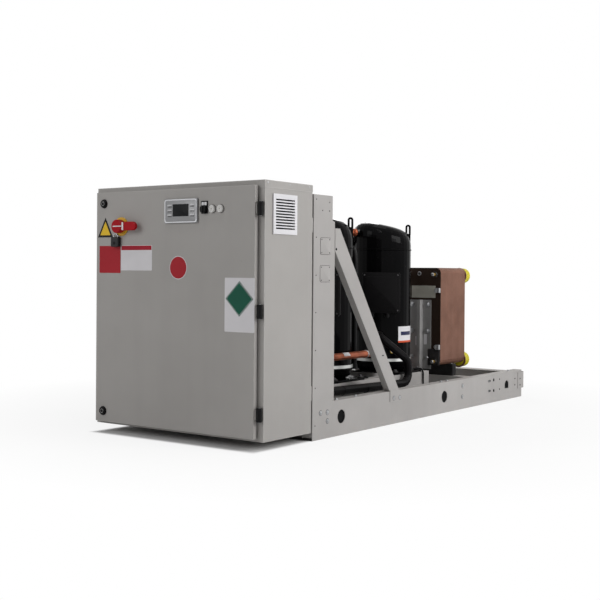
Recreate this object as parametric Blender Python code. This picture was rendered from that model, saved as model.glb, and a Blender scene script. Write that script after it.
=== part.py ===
"""Water-to-water chiller: a hung control cabinet, a low skid, two scroll compressors in line and two
brazed plate heat exchangers. Metres, +Z up, the cabinet door faces -Y, +X is the side with the vent.

Plan distances called "from the rim" are measured along Y from the cabinet's front rim."""
import math

import bmesh
import bpy
from mathutils import Matrix, Vector

# Overall sizes
WIDTH = 0.928
HEIGHT = 1.066
RAIL_END = 2.432
FIT = 0.0003
SWING_CLEAR = 0.005

# Sheet thicknesses
SHELL_SHEET = 0.002
DOOR_SHEET = 0.002
FRAME_SHEET = 0.003

# Cabinet
CABINET_DEPTH = 0.3255
CABINET_BOTTOM = 0.036
CAP_SKIRT = 0.030
CAP_OVERLAP = 0.0012
DOOR_THICK = 0.019
DOOR_RIGHT_MARGIN = 0.031
DOOR_LEFT_MARGIN = 0.018
DOOR_BOTTOM = 0.048
DOOR_TOP_MARGIN = 0.021
RIM_INSIDE = 0.030
PLATE_MARGIN = 0.060
PLATE_DEPTH = 0.030

# Hinges and locks
HINGE_RADIUS = 0.0115
HINGE_HEIGHT = 0.056
HINGE_TOP_DROP = 0.092
HINGE_BOTTOM_RISE = 0.096
HINGE_ARM_HALF = 0.020
HINGE_ARM_FROM_FACE = (0.005, 0.012)
HINGE_SIDE_OFFSET = 0.0135
LOCK_RADIUS = 0.0175
LOCK_HEIGHT = 0.009
LOCK_INSET = 0.0455
LOCK_TOP_DROP = 0.049
LOCK_BOTTOM_RISE = 0.046

# Door fittings
SWITCH_FROM_LEFT = 0.153
SWITCH_DROP = 0.150
SWITCH_PLATE_RADIUS = 0.040
SWITCH_PLATE_THICK = 0.006
KNOB_RADIUS = 0.029
KNOB_DEPTH = 0.030
LEVER_LENGTH = 0.113
LEVER_WIDTH = 0.037
LEVER_DEPTH = 0.016
PADLOCK_SIZE = (0.044, 0.020, 0.043)
PADLOCK_OFFSET = (-0.0265, -0.066)
DISPLAY_FROM_RIGHT = 0.3815
DISPLAY_DROP = 0.0925
DISPLAY_SIZE = (0.181, 0.101)
DISPLAY_DEPTH = 0.008
SELECTOR_FROM_RIGHT = 0.2575
SELECTOR_DROP = 0.081
SELECTOR_SIZE = (0.034, 0.052)
SELECTOR_DEPTH = 0.004
SELECTOR_KNOB_LOWER = 0.0083
SELECTOR_KNOB_RADIUS = 0.016
SELECTOR_KNOB_DEPTH = 0.012
BUTTON_RADIUS = 0.0155
BUTTON_DEPTH = 0.010
BUTTONS_FROM_RIGHT = (0.215, 0.1725)
BUTTON_DROP = 0.0885

# Side vent
VENT_SIZE = 0.160
VENT_CENTRE_FROM_RIM = 0.131
VENT_DROP = 0.131
VENT_PROUD = 0.004
VENT_SLOTS = 11
VENT_PITCH = 0.0114
VENT_SLOT_HEIGHT = 0.006
VENT_SLOT_LENGTH = 0.128
WALL_CUT_REACH = 0.020

# Frame
POST_BEHIND_CABINET = 0.0085
POST_WIDTH = 0.140
POST_FLANGE = 0.052
POST_TOP_DROP = 0.036
STRIP_WIDTH = 0.021
STRIP_TOP_DROP = 0.103
STRIP_INSET = 0.002
RAIL_HEIGHT = 0.1537
RAIL_FLANGE = 0.050
LIFT_HOLE_RADIUS = 0.030
LIFT_HOLE_Z = 0.0815
LIFT_HOLE_BEHIND_POST = 0.079
REAR_LIFT_HOLE_FROM_RIM = 1.497
ARCH_HOLE_FROM_RIM = 2.2325
ARCH_HOLE_WIDTH = 0.050
ARCH_HOLE_BOTTOM = 0.063
ARCH_HOLE_TOP = 0.107
BEAM_HEIGHT = 0.143
BEAM_OUT = 0.021
BEAM_FLANGE = 0.060
BEAM_TAB = 0.0538
BEAM_LOWER_INSET = 0.012
BEAM_FACE_RISE = 0.004
TAB_BOTTOM = 0.050
TAB_TOP = 0.1415
BRACE_FLANGE = 0.030
BRACE_RUN = 0.511
BRACE_TOP_UNDER_STRIP = 0.034
BRACE_TOP_DROP = 0.097
BRACE_TOP_WIDTH = 0.037
BRACE_FOOT_WIDTH = 0.084
BRACE_TAB_BOTTOM = 0.105
BRACE_TAB_RISE = 0.006
BEAM_WIDTH = 0.060
CROSS_LEVELS_FROM_RIM = (0.800, 1.580, 1.975)
CROSS_WIDTH = 0.060
CROSS_BOTTOM = 0.040
CROSS_TOP = 0.120
PACK_CROSS_TOP = 0.140
HANGER_TOP_DROP = 0.130
HANGER_BOTTOM_LEVEL = 0.200
HANGER_HEIGHT = 0.060
HANGER_END_INSET = 0.004

# Compressors
COMPRESSOR_IN = 0.355
COMPRESSORS_FROM_RIM = (0.915, 1.4665)
SHELL_RADIUS = 0.149
SHELL_FACES = 36
FOOT_ROUND = 0.045
FOOT_NARROW = 0.72
SEAM_LEVEL = 0.8175
SEAM_LIP = 0.003
SEAM_HEIGHT = 0.010
SHOULDER_LEVEL = 0.8715
DOME_RISES = (0.099, 0.080)
DOME_SQUARE = 0.38
DOME_SLOPE = 0.195
COMPRESSOR_RAIL_TOP = 0.191
COMPRESSOR_RAIL_WIDTH = 0.050
COMPRESSOR_RAIL_START = 0.720
COMPRESSOR_RAIL_END = 1.660
FOOT_SPACING = 0.300
FOOT_PLATE_MARGIN = 0.022
FOOT_PLATE_SHORTER = 0.020
FOOT_PAD_RADIUS = 0.020
FOOT_PAD_HEIGHT = 0.004
FOOT_PLATE_THICK = 0.006
LOOP_TOPS = (0.9688, 0.9547)
LOOP_HEIGHT = 0.118
LOOP_MIDDLE = 0.1345
LOOP_WIDTH = 0.0255
LOOP_THICK = 0.007
LOOP_SLOT_WIDTH = 0.0100
LOOP_SLOT_DEPTH = 0.042
LOOP_TURN = math.radians(36.0)
BOX_TURN = math.radians(-60.0)
BOX_SIZE = (0.196, 0.206)
BOX_BOTTOM = 0.501
BOX_OUT = 0.0455
BOX_ROUND = 0.006
PORT_OUT = 0.012
SUCTION_PORT_TURNS = (math.radians(-90.0), math.radians(-62.0))
SUCTION_PORT_LEVEL = 0.388
DISCHARGE_TURN = math.radians(-115.0)
DISCHARGE_LEVEL = 0.910
DISCHARGE_REACH = 0.640
EQUAL_PORT_TURN = math.radians(-65.0)
EQUAL_LEVEL = 0.315

# Plate heat exchangers
PLATE_PACK_WIDTH = 0.250
PLATE_PACK_HEIGHT = 0.527
PLATE_PACK_BOTTOM = 0.206
PLATE_PACK_FROM_RIM = 1.810
PLATE_PACK_DEPTH = 0.284
PLATE_COUNT = 20
PLATE_EDGE_INSET = 0.0016
PACK_CORNER = 0.028
PACK_X = 0.1455
COVER_THICK = 0.006
PORT_X = 0.087
PORT_TOP_INSET = 0.043
PORT_BOTTOM_INSET = 0.0145
CAP_RADIUS = 0.041
CAP_OUT = 0.062
BRACKET_BELOW_PACK = 0.021
BRACKET_TOP_INSET = 0.174
BRACKET_HALF = 0.069
BRACKET_SHEET = 0.004
BRACKET_RIDGE = (0.002, 0.021)
BRACKET_RIDGE_OUT = 0.040
PACK_FOOT_DEPTH = 0.040

# Pipes
SUCTION_RADIUS = 0.0205
SUCTION_BEND = 0.055
LANE_FROM_FOOT = 0.058
SUCTION_RUN_LEVEL = 0.168
SUCTION_CROSSING = 0.620
SUCTION_LOOP_REACH = 1.380
SUCTION_LOOP_LEAN = 0.012
SUCTION_LOOP_TOP = 0.266
SUCTION_LOOP_BOTTOM = 0.151
PORT_STUB = 0.066
BRANCH_RADIUS = 0.0185
BRANCH_BEND = 0.045
HEADER_OUT = 0.219
HEADER_STUB = 0.010
RISER_FROM_RIM = 1.700
RISER_LEVEL = 0.590
DISCHARGE_LANE_OUT = 0.229
DISCHARGE_RADIUS = 0.0175
DISCHARGE_BRANCH_RADIUS = 0.016
LIQUID_RADIUS = 0.011
LIQUID_BEND = 0.030
LIQUID_BRIDGE_LEVEL = 0.400
LIQUID_TURN_FROM_RIM = 1.130
LIQUID_RISER_FROM_RIM = 1.660
EQUAL_RADIUS = 0.017
EQUAL_LANE_OUT = 0.176
EQUAL_BEND = 0.040
DRIER_FROM_RIM = 1.325
DRIER_RADIUS = 0.042
DRIER_LENGTH = 0.250
DRIER_NECK = 0.014
DRIER_NECK_LENGTH = 0.012
DRIER_CONE = 0.018
PIPE_BEND = 0.035

# Derived planes
SIDE = WIDTH / 2
CABINET_TOP = HEIGHT
POST_FROM_RIM = CABINET_DEPTH + POST_BEHIND_CABINET
LIFT_HOLES_FROM_RIM = (POST_FROM_RIM + POST_WIDTH + LIFT_HOLE_BEHIND_POST, REAR_LIFT_HOLE_FROM_RIM)
DOOR_LEFT = -SIDE + DOOR_LEFT_MARGIN
DOOR_RIGHT = SIDE - DOOR_RIGHT_MARGIN
DOOR_TOP = CABINET_TOP - DOOR_TOP_MARGIN
HINGE_ENDS = (DOOR_TOP - HINGE_TOP_DROP, DOOR_BOTTOM + HINGE_BOTTOM_RISE)
HINGE_LEVELS = (HINGE_ENDS[0], (HINGE_ENDS[0] + HINGE_ENDS[1]) / 2, HINGE_ENDS[1])
LOCK_X = DOOR_LEFT + LOCK_INSET
LOCK_LEVELS = (DOOR_TOP - LOCK_TOP_DROP, DOOR_BOTTOM + LOCK_BOTTOM_RISE)
SWITCH_X = DOOR_LEFT + SWITCH_FROM_LEFT
SWITCH_Z = DOOR_TOP - SWITCH_DROP
DISPLAY_CENTRE = (DOOR_RIGHT - DISPLAY_FROM_RIGHT, DOOR_TOP - DISPLAY_DROP)
SELECTOR_CENTRE = (DOOR_RIGHT - SELECTOR_FROM_RIGHT, DOOR_TOP - SELECTOR_DROP)
SELECTOR_KNOB_Z = SELECTOR_CENTRE[1] - SELECTOR_KNOB_LOWER
BUTTON_XS = tuple(DOOR_RIGHT - inset for inset in BUTTONS_FROM_RIGHT)
BUTTON_Z = DOOR_TOP - BUTTON_DROP
VENT_CENTRE_Z = CABINET_TOP - VENT_DROP
POST_TOP = CABINET_TOP - POST_TOP_DROP
STRIP_TOP = POST_TOP - STRIP_TOP_DROP
BRACE_TOP_Z = STRIP_TOP - BRACE_TOP_UNDER_STRIP
HANGER_LEVELS = (POST_TOP - HANGER_TOP_DROP, HANGER_BOTTOM_LEVEL)
PLATE_PACK_TOP = PLATE_PACK_BOTTOM + PLATE_PACK_HEIGHT
PORT_LEVELS = (PLATE_PACK_TOP - PORT_TOP_INSET, PLATE_PACK_BOTTOM + PORT_BOTTOM_INSET)
BRACKET_BOTTOM = PLATE_PACK_BOTTOM - BRACKET_BELOW_PACK
BRACKET_TOP = PLATE_PACK_TOP - BRACKET_TOP_INSET
DOOR_FRONT = -(SWING_CLEAR + DOOR_THICK)
HANDLE_FRONT = DOOR_FRONT - SWITCH_PLATE_THICK - 2 * FIT - KNOB_DEPTH
FRAME_END = RAIL_END + BEAM_OUT
SHIFT_Y = -(HANDLE_FRONT + FRAME_END) / 2
RAIL_REST = RAIL_HEIGHT + FIT
DECK = CROSS_TOP + FIT
FOOT_PLATE_TOP = COMPRESSOR_RAIL_TOP + FIT + FOOT_PAD_HEIGHT + FOOT_PLATE_THICK
INSIDE = SIDE - FRAME_SHEET - FIT
COMPRESSOR_X = SIDE - COMPRESSOR_IN
SUCTION_LANE = COMPRESSOR_X + FOOT_SPACING / 2 + LANE_FROM_FOOT
EQUAL_LANE = COMPRESSOR_X + EQUAL_LANE_OUT
DISCHARGE_LANE = COMPRESSOR_X - DISCHARGE_LANE_OUT
HEADER_X = COMPRESSOR_X - HEADER_OUT


def clear_scene():
    """Removes what the start-up scene holds."""
    for obj in list(bpy.data.objects):
        bpy.data.objects.remove(obj, do_unlink=True)


MATERIALS = {}


def material(name, colour, metallic=0.0, roughness=0.5):
    """Makes a named surface once and hands it out again after that."""
    if name not in MATERIALS:
        made = bpy.data.materials.new(name)
        made.use_nodes = True
        shader = made.node_tree.nodes["Principled BSDF"]
        shader.inputs["Base Color"].default_value = (*colour, 1.0)
        shader.inputs["Metallic"].default_value = metallic
        shader.inputs["Roughness"].default_value = roughness
        made.diffuse_color = (*colour, 1.0)
        MATERIALS[name] = made
    return MATERIALS[name]


def cabinet_paint():
    """Light warm grey paint of the cabinet."""
    return material("cabinet_paint", (0.62, 0.60, 0.57), 0.0, 0.5)


def frame_paint():
    """Light warm grey paint of the skid."""
    return material("frame_paint", (0.60, 0.58, 0.56), 0.0, 0.55)


def black_paint():
    """Glossy black paint of the compressors."""
    return material("black_paint", (0.012, 0.012, 0.013), 0.0, 0.22)


def black_plastic():
    """Black plastic of hinges, knobs and boxes."""
    return material("black_plastic", (0.02, 0.02, 0.022), 0.0, 0.45)


def place(name, bm, slot, at=(0.0, 0.0, 0.0), smooth=False):
    """Turns a bmesh into a named object whose origin stands at the point given, in plan distances."""
    bmesh.ops.recalc_face_normals(bm, faces=bm.faces)
    mesh = bpy.data.meshes.new(name)
    bm.to_mesh(mesh)
    bm.free()
    mesh.materials.append(slot)
    if smooth:
        for face in mesh.polygons:
            face.use_smooth = True
        mesh.set_sharp_from_angle(angle=math.radians(35.0))
    obj = bpy.data.objects.new(name, mesh)
    obj.location = (at[0], at[1] + SHIFT_Y, at[2])
    bpy.context.scene.collection.objects.link(obj)
    return obj


def add_box(bm, low, high):
    """Adds one closed box between two corners."""
    corners = [bm.verts.new((x, y, z)) for x in (low[0], high[0]) for y in (low[1], high[1])
               for z in (low[2], high[2])]
    for quad in ((0, 1, 3, 2), (4, 6, 7, 5), (0, 4, 5, 1), (2, 3, 7, 6), (0, 2, 6, 4), (1, 5, 7, 3)):
        bm.faces.new([corners[i] for i in quad])


def block(name, low, high, slot, bevel=0.0):
    """A box between two corners, its origin at its own middle."""
    middle = [(a + b) / 2 for a, b in zip(low, high)]
    bm = bmesh.new()
    add_box(bm, [a - m for a, m in zip(low, middle)], [b - m for b, m in zip(high, middle)])
    obj = place(name, bm, slot, middle)
    if bevel:
        soften(obj, bevel)
    return obj


def soften(obj, width, segments=2, angle=30.0):
    """Rounds the sharp edges of an object."""
    tool = obj.modifiers.new("round", "BEVEL")
    tool.width = width
    tool.segments = segments
    tool.limit_method = "ANGLE"
    tool.angle_limit = math.radians(angle)


def add_prism(bm, outline, low, high, axis):
    """Adds a closed outline drawn out along an axis. The outline's pairs are the other two axes in order."""
    def corner(pair, along):
        if axis == 0:
            return (along, pair[0], pair[1])
        if axis == 1:
            return (pair[0], along, pair[1])
        return (pair[0], pair[1], along)

    first = [bm.verts.new(corner(pair, low)) for pair in outline]
    last = [bm.verts.new(corner(pair, high)) for pair in outline]
    bm.faces.new(first)
    bm.faces.new(list(reversed(last)))
    count = len(outline)
    for i in range(count):
        j = (i + 1) % count
        bm.faces.new((first[i], last[i], last[j], first[j]))


def prism(name, outline, low, high, axis, slot, at=(0.0, 0.0, 0.0)):
    """A closed outline drawn out along an axis, as an object."""
    bm = bmesh.new()
    add_prism(bm, outline, low, high, axis)
    return place(name, bm, slot, at)


def lathe(name, profile, slot, at, axis=2, segments=32, smooth=True):
    """A closed solid of revolution. The profile's pairs are radius and height; both ends lie on the axis."""
    bm = bmesh.new()
    rings = []
    for radius, height in profile:
        if radius < 1e-9:
            rings.append([bm.verts.new((0.0, 0.0, height))])
            continue
        ring = []
        for i in range(segments):
            turn = 2 * math.pi * i / segments
            ring.append(bm.verts.new((radius * math.cos(turn), radius * math.sin(turn), height)))
        rings.append(ring)
    for one, two in zip(rings, rings[1:]):
        for i in range(segments):
            j = (i + 1) % segments
            if len(one) == 1:
                bm.faces.new((one[0], two[j], two[i]))
            elif len(two) == 1:
                bm.faces.new((one[i], one[j], two[0]))
            else:
                bm.faces.new((one[i], one[j], two[j], two[i]))
    if axis == 0:
        bmesh.ops.rotate(bm, verts=bm.verts, cent=(0, 0, 0), matrix=Matrix.Rotation(math.pi / 2, 3, "Y"))
    if axis == 1:
        bmesh.ops.rotate(bm, verts=bm.verts, cent=(0, 0, 0), matrix=Matrix.Rotation(-math.pi / 2, 3, "X"))
    return place(name, bm, slot, at, smooth)


def disc(radius, low, high, rim=0.0):
    """A profile for a plain cylinder with softened rims."""
    if rim <= 0.0:
        return [(0.0, low), (radius, low), (radius, high), (0.0, high)]
    return [(0.0, low), (radius - rim, low), (radius, low + rim), (radius, high - rim),
            (radius - rim, high), (0.0, high)]


def bend_path(corners, bend, steps=4):
    """A path through corner points with each inner corner replaced by a round bend."""
    points = [Vector(corners[0])]
    for before, here, after in zip(corners, corners[1:], corners[2:]):
        here = Vector(here)
        back = (Vector(before) - here)
        ahead = (Vector(after) - here)
        angle = back.angle(ahead)
        reach = min(bend / math.tan(angle / 2), 0.49 * back.length, 0.49 * ahead.length)
        radius = reach * math.tan(angle / 2)
        start = here + back.normalized() * reach
        halfway = (back.normalized() + ahead.normalized()).normalized()
        centre = here + halfway * (radius / math.sin(angle / 2))
        arm = start - centre
        normal = back.cross(ahead).normalized()
        for k in range(steps + 1):
            turn = Matrix.Rotation(-(math.pi - angle) * k / steps, 3, normal)
            points.append(centre + turn @ arm)
    points.append(Vector(corners[-1]))
    return points


def add_rod(bm, points, radius, segments=12):
    """Adds one closed round rod along a path."""
    rings = []
    tangent = (points[1] - points[0]).normalized()
    side = tangent.orthogonal().normalized()
    for i, point in enumerate(points):
        if i == 0:
            ahead = points[1] - points[0]
        elif i == len(points) - 1:
            ahead = points[-1] - points[-2]
        else:
            ahead = (points[i + 1] - point).normalized() + (point - points[i - 1]).normalized()
        ahead.normalize()
        turn = tangent.rotation_difference(ahead)
        side = turn @ side
        tangent = ahead
        other = tangent.cross(side)
        ring = []
        for k in range(segments):
            angle = 2 * math.pi * k / segments
            ring.append(bm.verts.new(point + radius * (math.cos(angle) * side + math.sin(angle) * other)))
        rings.append(ring)
    bm.faces.new(rings[0])
    bm.faces.new(list(reversed(rings[-1])))
    for one, two in zip(rings, rings[1:]):
        for k in range(segments):
            j = (k + 1) % segments
            bm.faces.new((one[k], two[k], two[j], one[j]))


def rod(name, corners, radius, bend, slot, segments=12):
    """A bent pipe, solid, its origin at its first end."""
    start = Vector(corners[0])
    local = [Vector(c) - start for c in corners]
    bm = bmesh.new()
    add_rod(bm, bend_path(local, bend), radius, segments)
    return place(name, bm, slot, start, smooth=True)


def hide_tool(obj):
    """Marks a cutter so it is never drawn or exported."""
    obj.hide_render = True
    obj.display_type = "WIRE"


def cut(target, tool, keep=False):
    """Takes the tool's shape away from the target, or adds it where keep is true."""
    change = target.modifiers.new("shape", "BOOLEAN")
    change.operation = "UNION" if keep else "DIFFERENCE"
    change.solver = "EXACT"
    change.object = tool
    hide_tool(tool)


def mirrored(name, source, tools):
    """A mirror image of a piece over X = 0, cut by its own mirrored tools."""
    mesh = source.data.copy()
    mesh.name = name
    mesh.transform(Matrix.Scale(-1.0, 4, (1.0, 0.0, 0.0)))
    mesh.flip_normals()
    obj = bpy.data.objects.new(name, mesh)
    obj.location = (-source.location[0], source.location[1], source.location[2])
    bpy.context.scene.collection.objects.link(obj)
    for tool, keep in tools:
        twin_mesh = tool.data.copy()
        twin_mesh.transform(Matrix.Scale(-1.0, 4, (1.0, 0.0, 0.0)))
        twin_mesh.flip_normals()
        twin = bpy.data.objects.new(tool.name + "_twin", twin_mesh)
        twin.location = (-tool.location[0], tool.location[1], tool.location[2])
        bpy.context.scene.collection.objects.link(twin)
        cut(obj, twin, keep)
    return obj


def channel(width, flange, sheet):
    """Outline of a channel that opens toward -first axis: web at the high side, flanges at both ends."""
    return [(0.0, 0.0), (0.0, width), (-flange, width), (-flange, width - sheet), (-sheet, width - sheet),
            (-sheet, sheet), (-flange, sheet), (-flange, 0.0)]


def build_cabinet():
    """The hollow shell with its rim, and the roof cap over it."""
    outer_x = SIDE - CAP_OVERLAP
    shell_top = CABINET_TOP - SHELL_SHEET - FIT
    shell = block("cabinet_shell", (-outer_x, CAP_OVERLAP, CABINET_BOTTOM),
                  (outer_x, CABINET_DEPTH - CAP_OVERLAP, shell_top), cabinet_paint())
    bm = bmesh.new()
    add_box(bm, (-outer_x + SHELL_SHEET, CAP_OVERLAP + SHELL_SHEET, CABINET_BOTTOM + SHELL_SHEET),
            (outer_x - SHELL_SHEET, CABINET_DEPTH - CAP_OVERLAP - SHELL_SHEET, shell_top - SHELL_SHEET))
    cut(shell, place("shell_hollow", bm, cabinet_paint()))
    bm = bmesh.new()
    add_box(bm, (DOOR_LEFT + RIM_INSIDE, -WALL_CUT_REACH, DOOR_BOTTOM + RIM_INSIDE),
            (DOOR_RIGHT - RIM_INSIDE, CABINET_DEPTH / 2, DOOR_TOP - RIM_INSIDE))
    cut(shell, place("shell_mouth", bm, cabinet_paint()))
    half = VENT_SLOT_LENGTH / 2 + FIT
    bm = bmesh.new()
    for sign in (-1.0, 1.0):
        low = sign * SIDE - WALL_CUT_REACH
        high = sign * SIDE + WALL_CUT_REACH
        add_box(bm, (low, VENT_CENTRE_FROM_RIM - half, VENT_CENTRE_Z - half),
                (high, VENT_CENTRE_FROM_RIM + half, VENT_CENTRE_Z + half))
    cut(shell, place("vent_windows", bm, cabinet_paint()))

    cap = block("cabinet_roof", (-SIDE, 0.0, CABINET_TOP - CAP_SKIRT), (SIDE, CABINET_DEPTH, CABINET_TOP),
                cabinet_paint())
    bm = bmesh.new()
    inner = CAP_OVERLAP - FIT
    add_box(bm, (-SIDE + inner, inner, CABINET_TOP - CAP_SKIRT - WALL_CUT_REACH),
            (SIDE - inner, CABINET_DEPTH - inner, CABINET_TOP - SHELL_SHEET))
    cut(cap, place("roof_hollow", bm, cabinet_paint()))

    bm = bmesh.new()
    back = CABINET_DEPTH - CAP_OVERLAP - SHELL_SHEET - FIT
    front = back - PLATE_DEPTH
    add_box(bm, (-SIDE + PLATE_MARGIN, front, CABINET_BOTTOM + PLATE_MARGIN),
            (SIDE - PLATE_MARGIN, back, CABINET_TOP - PLATE_MARGIN))
    plate = place("mounting_plate", bm, material("zinc_sheet", (0.62, 0.63, 0.62), 0.8, 0.4))
    bm = bmesh.new()
    add_box(bm, (-SIDE + PLATE_MARGIN + SHELL_SHEET, front + SHELL_SHEET,
                 CABINET_BOTTOM + PLATE_MARGIN + SHELL_SHEET),
            (SIDE - PLATE_MARGIN - SHELL_SHEET, back + 0.01, CABINET_TOP - PLATE_MARGIN - SHELL_SHEET))
    cut(plate, place("plate_hollow", bm, cabinet_paint()))


def build_door():
    """The door pan with its hinge arms. Its origin stands on the hinge axis at floor level."""
    axis_x = SIDE - HINGE_SIDE_OFFSET
    axis_y = CAP_OVERLAP - FIT - HINGE_RADIUS
    left = DOOR_LEFT - axis_x
    right = DOOR_RIGHT - axis_x
    front = DOOR_FRONT - axis_y
    rear = -SWING_CLEAR - axis_y
    bm = bmesh.new()
    add_box(bm, (left, front, DOOR_BOTTOM), (right, rear, DOOR_TOP))
    door = place("cabinet_door", bm, cabinet_paint(), (axis_x, axis_y, 0.0))
    bm = bmesh.new()
    add_box(bm, (left + DOOR_SHEET, front + DOOR_SHEET, DOOR_BOTTOM + DOOR_SHEET),
            (right - DOOR_SHEET, rear + 0.01, DOOR_TOP - DOOR_SHEET))
    cut(door, place("door_hollow", bm, cabinet_paint(), (axis_x, axis_y, 0.0)))
    bm = bmesh.new()
    for level in HINGE_LEVELS:
        add_box(bm, (right - DOOR_SHEET / 2, front + HINGE_ARM_FROM_FACE[0], level - HINGE_ARM_HALF),
                (-HINGE_RADIUS - FIT, front + HINGE_ARM_FROM_FACE[1], level + HINGE_ARM_HALF))
    cut(door, place("hinge_arms", bm, cabinet_paint(), (axis_x, axis_y, 0.0)), keep=True)
    for label, level in zip(("top", "middle", "bottom"), HINGE_LEVELS):
        lathe("hinge_" + label, disc(HINGE_RADIUS, -HINGE_HEIGHT / 2, HINGE_HEIGHT / 2, 0.0015),
              black_plastic(), (axis_x, axis_y, level), segments=20)


def build_fittings():
    """Switch, display, selector, buttons, padlock and locks on the door's face."""
    face = DOOR_FRONT - FIT
    for label, level in zip(("top", "bottom"), LOCK_LEVELS):
        lathe("lock_" + label, disc(LOCK_RADIUS, -LOCK_HEIGHT, 0.0, 0.002), black_plastic(),
              (LOCK_X, face, level), axis=1, segments=20)
    yellow = material("yellow_plastic", (0.85, 0.62, 0.03), 0.0, 0.4)
    red = material("red_plastic", (0.62, 0.03, 0.02), 0.0, 0.35)
    lathe("main_switch_plate", disc(SWITCH_PLATE_RADIUS, -SWITCH_PLATE_THICK, 0.0, 0.001), yellow,
          (SWITCH_X, face, SWITCH_Z), axis=1, segments=32)
    seat = face - SWITCH_PLATE_THICK - FIT
    knob = lathe("main_switch_handle", disc(KNOB_RADIUS, -KNOB_DEPTH, 0.0, 0.003), red,
                 (SWITCH_X, seat, SWITCH_Z), axis=1, segments=24)
    bm = bmesh.new()
    half = LEVER_WIDTH / 2
    outline = [(0.0, -half), (LEVER_LENGTH - half, -half)]
    for k in range(1, 8):
        turn = math.pi * k / 8 - math.pi / 2
        outline.append((LEVER_LENGTH - half + half * math.cos(turn), half * math.sin(turn)))
    outline += [(LEVER_LENGTH - half, half), (0.0, half)]
    add_prism(bm, outline, -KNOB_DEPTH + 0.002, -KNOB_DEPTH + LEVER_DEPTH, 1)
    lever = place("switch_lever", bm, red, (SWITCH_X, seat, SWITCH_Z))
    soften(lever, 0.003, angle=50.0)
    cut(knob, lever, keep=True)
    half_x, depth, half_z = PADLOCK_SIZE[0] / 2, PADLOCK_SIZE[1], PADLOCK_SIZE[2] / 2
    bm = bmesh.new()
    add_box(bm, (-half_x, -depth, -half_z), (half_x, 0.0, half_z))
    body = place("padlock", bm, black_plastic(),
                 (SWITCH_X + PADLOCK_OFFSET[0], face, SWITCH_Z + PADLOCK_OFFSET[1]))
    soften(body, 0.004)
    silver = material("silver_plastic", (0.55, 0.56, 0.57), 0.3, 0.35)
    panel = block("display_panel",
                  (DISPLAY_CENTRE[0] - DISPLAY_SIZE[0] / 2, face - DISPLAY_DEPTH,
                   DISPLAY_CENTRE[1] - DISPLAY_SIZE[1] / 2),
                  (DISPLAY_CENTRE[0] + DISPLAY_SIZE[0] / 2, face,
                   DISPLAY_CENTRE[1] + DISPLAY_SIZE[1] / 2),
                  silver, 0.003)
    panel.modifiers["round"].segments = 3
    block("selector_plate",
          (SELECTOR_CENTRE[0] - SELECTOR_SIZE[0] / 2, face - SELECTOR_DEPTH,
           SELECTOR_CENTRE[1] - SELECTOR_SIZE[1] / 2),
          (SELECTOR_CENTRE[0] + SELECTOR_SIZE[0] / 2, face, SELECTOR_CENTRE[1] + SELECTOR_SIZE[1] / 2),
          black_plastic(), 0.001)
    lathe("selector_knob", disc(SELECTOR_KNOB_RADIUS, -SELECTOR_KNOB_DEPTH, 0.0, 0.002), black_plastic(),
          (SELECTOR_CENTRE[0], face - SELECTOR_DEPTH - FIT, SELECTOR_KNOB_Z), axis=1, segments=20)
    grey = material("grey_plastic", (0.55, 0.55, 0.56), 0.0, 0.4)
    for label, x in zip(("left", "right"), BUTTON_XS):
        lathe("push_button_" + label, disc(BUTTON_RADIUS, -BUTTON_DEPTH, 0.0, 0.002), grey,
              (x, face, BUTTON_Z), axis=1, segments=20)


def build_vents():
    """A louvred plate with a spigot into the wall, one on each side."""
    half = VENT_SIZE / 2
    spigot = VENT_SLOT_LENGTH / 2
    wall = SIDE - CAP_OVERLAP
    white = material("vent_plastic", (0.66, 0.66, 0.70), 0.0, 0.45)
    bm = bmesh.new()
    add_box(bm, (FIT, -half, -half), (VENT_PROUD + CAP_OVERLAP, half, half))
    vent = place("side_vent_right", bm, white, (wall, VENT_CENTRE_FROM_RIM, VENT_CENTRE_Z))
    bm = bmesh.new()
    for k in range(VENT_SLOTS):
        level = (k - (VENT_SLOTS - 1) / 2) * VENT_PITCH
        add_box(bm, (-WALL_CUT_REACH, -spigot, level - VENT_SLOT_HEIGHT / 2),
                (WALL_CUT_REACH, spigot, level + VENT_SLOT_HEIGHT / 2))
    slots = place("vent_slots", bm, white, (wall, VENT_CENTRE_FROM_RIM, VENT_CENTRE_Z))
    cut(vent, slots)
    mirrored("side_vent_left", vent, [(slots, False)])


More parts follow.
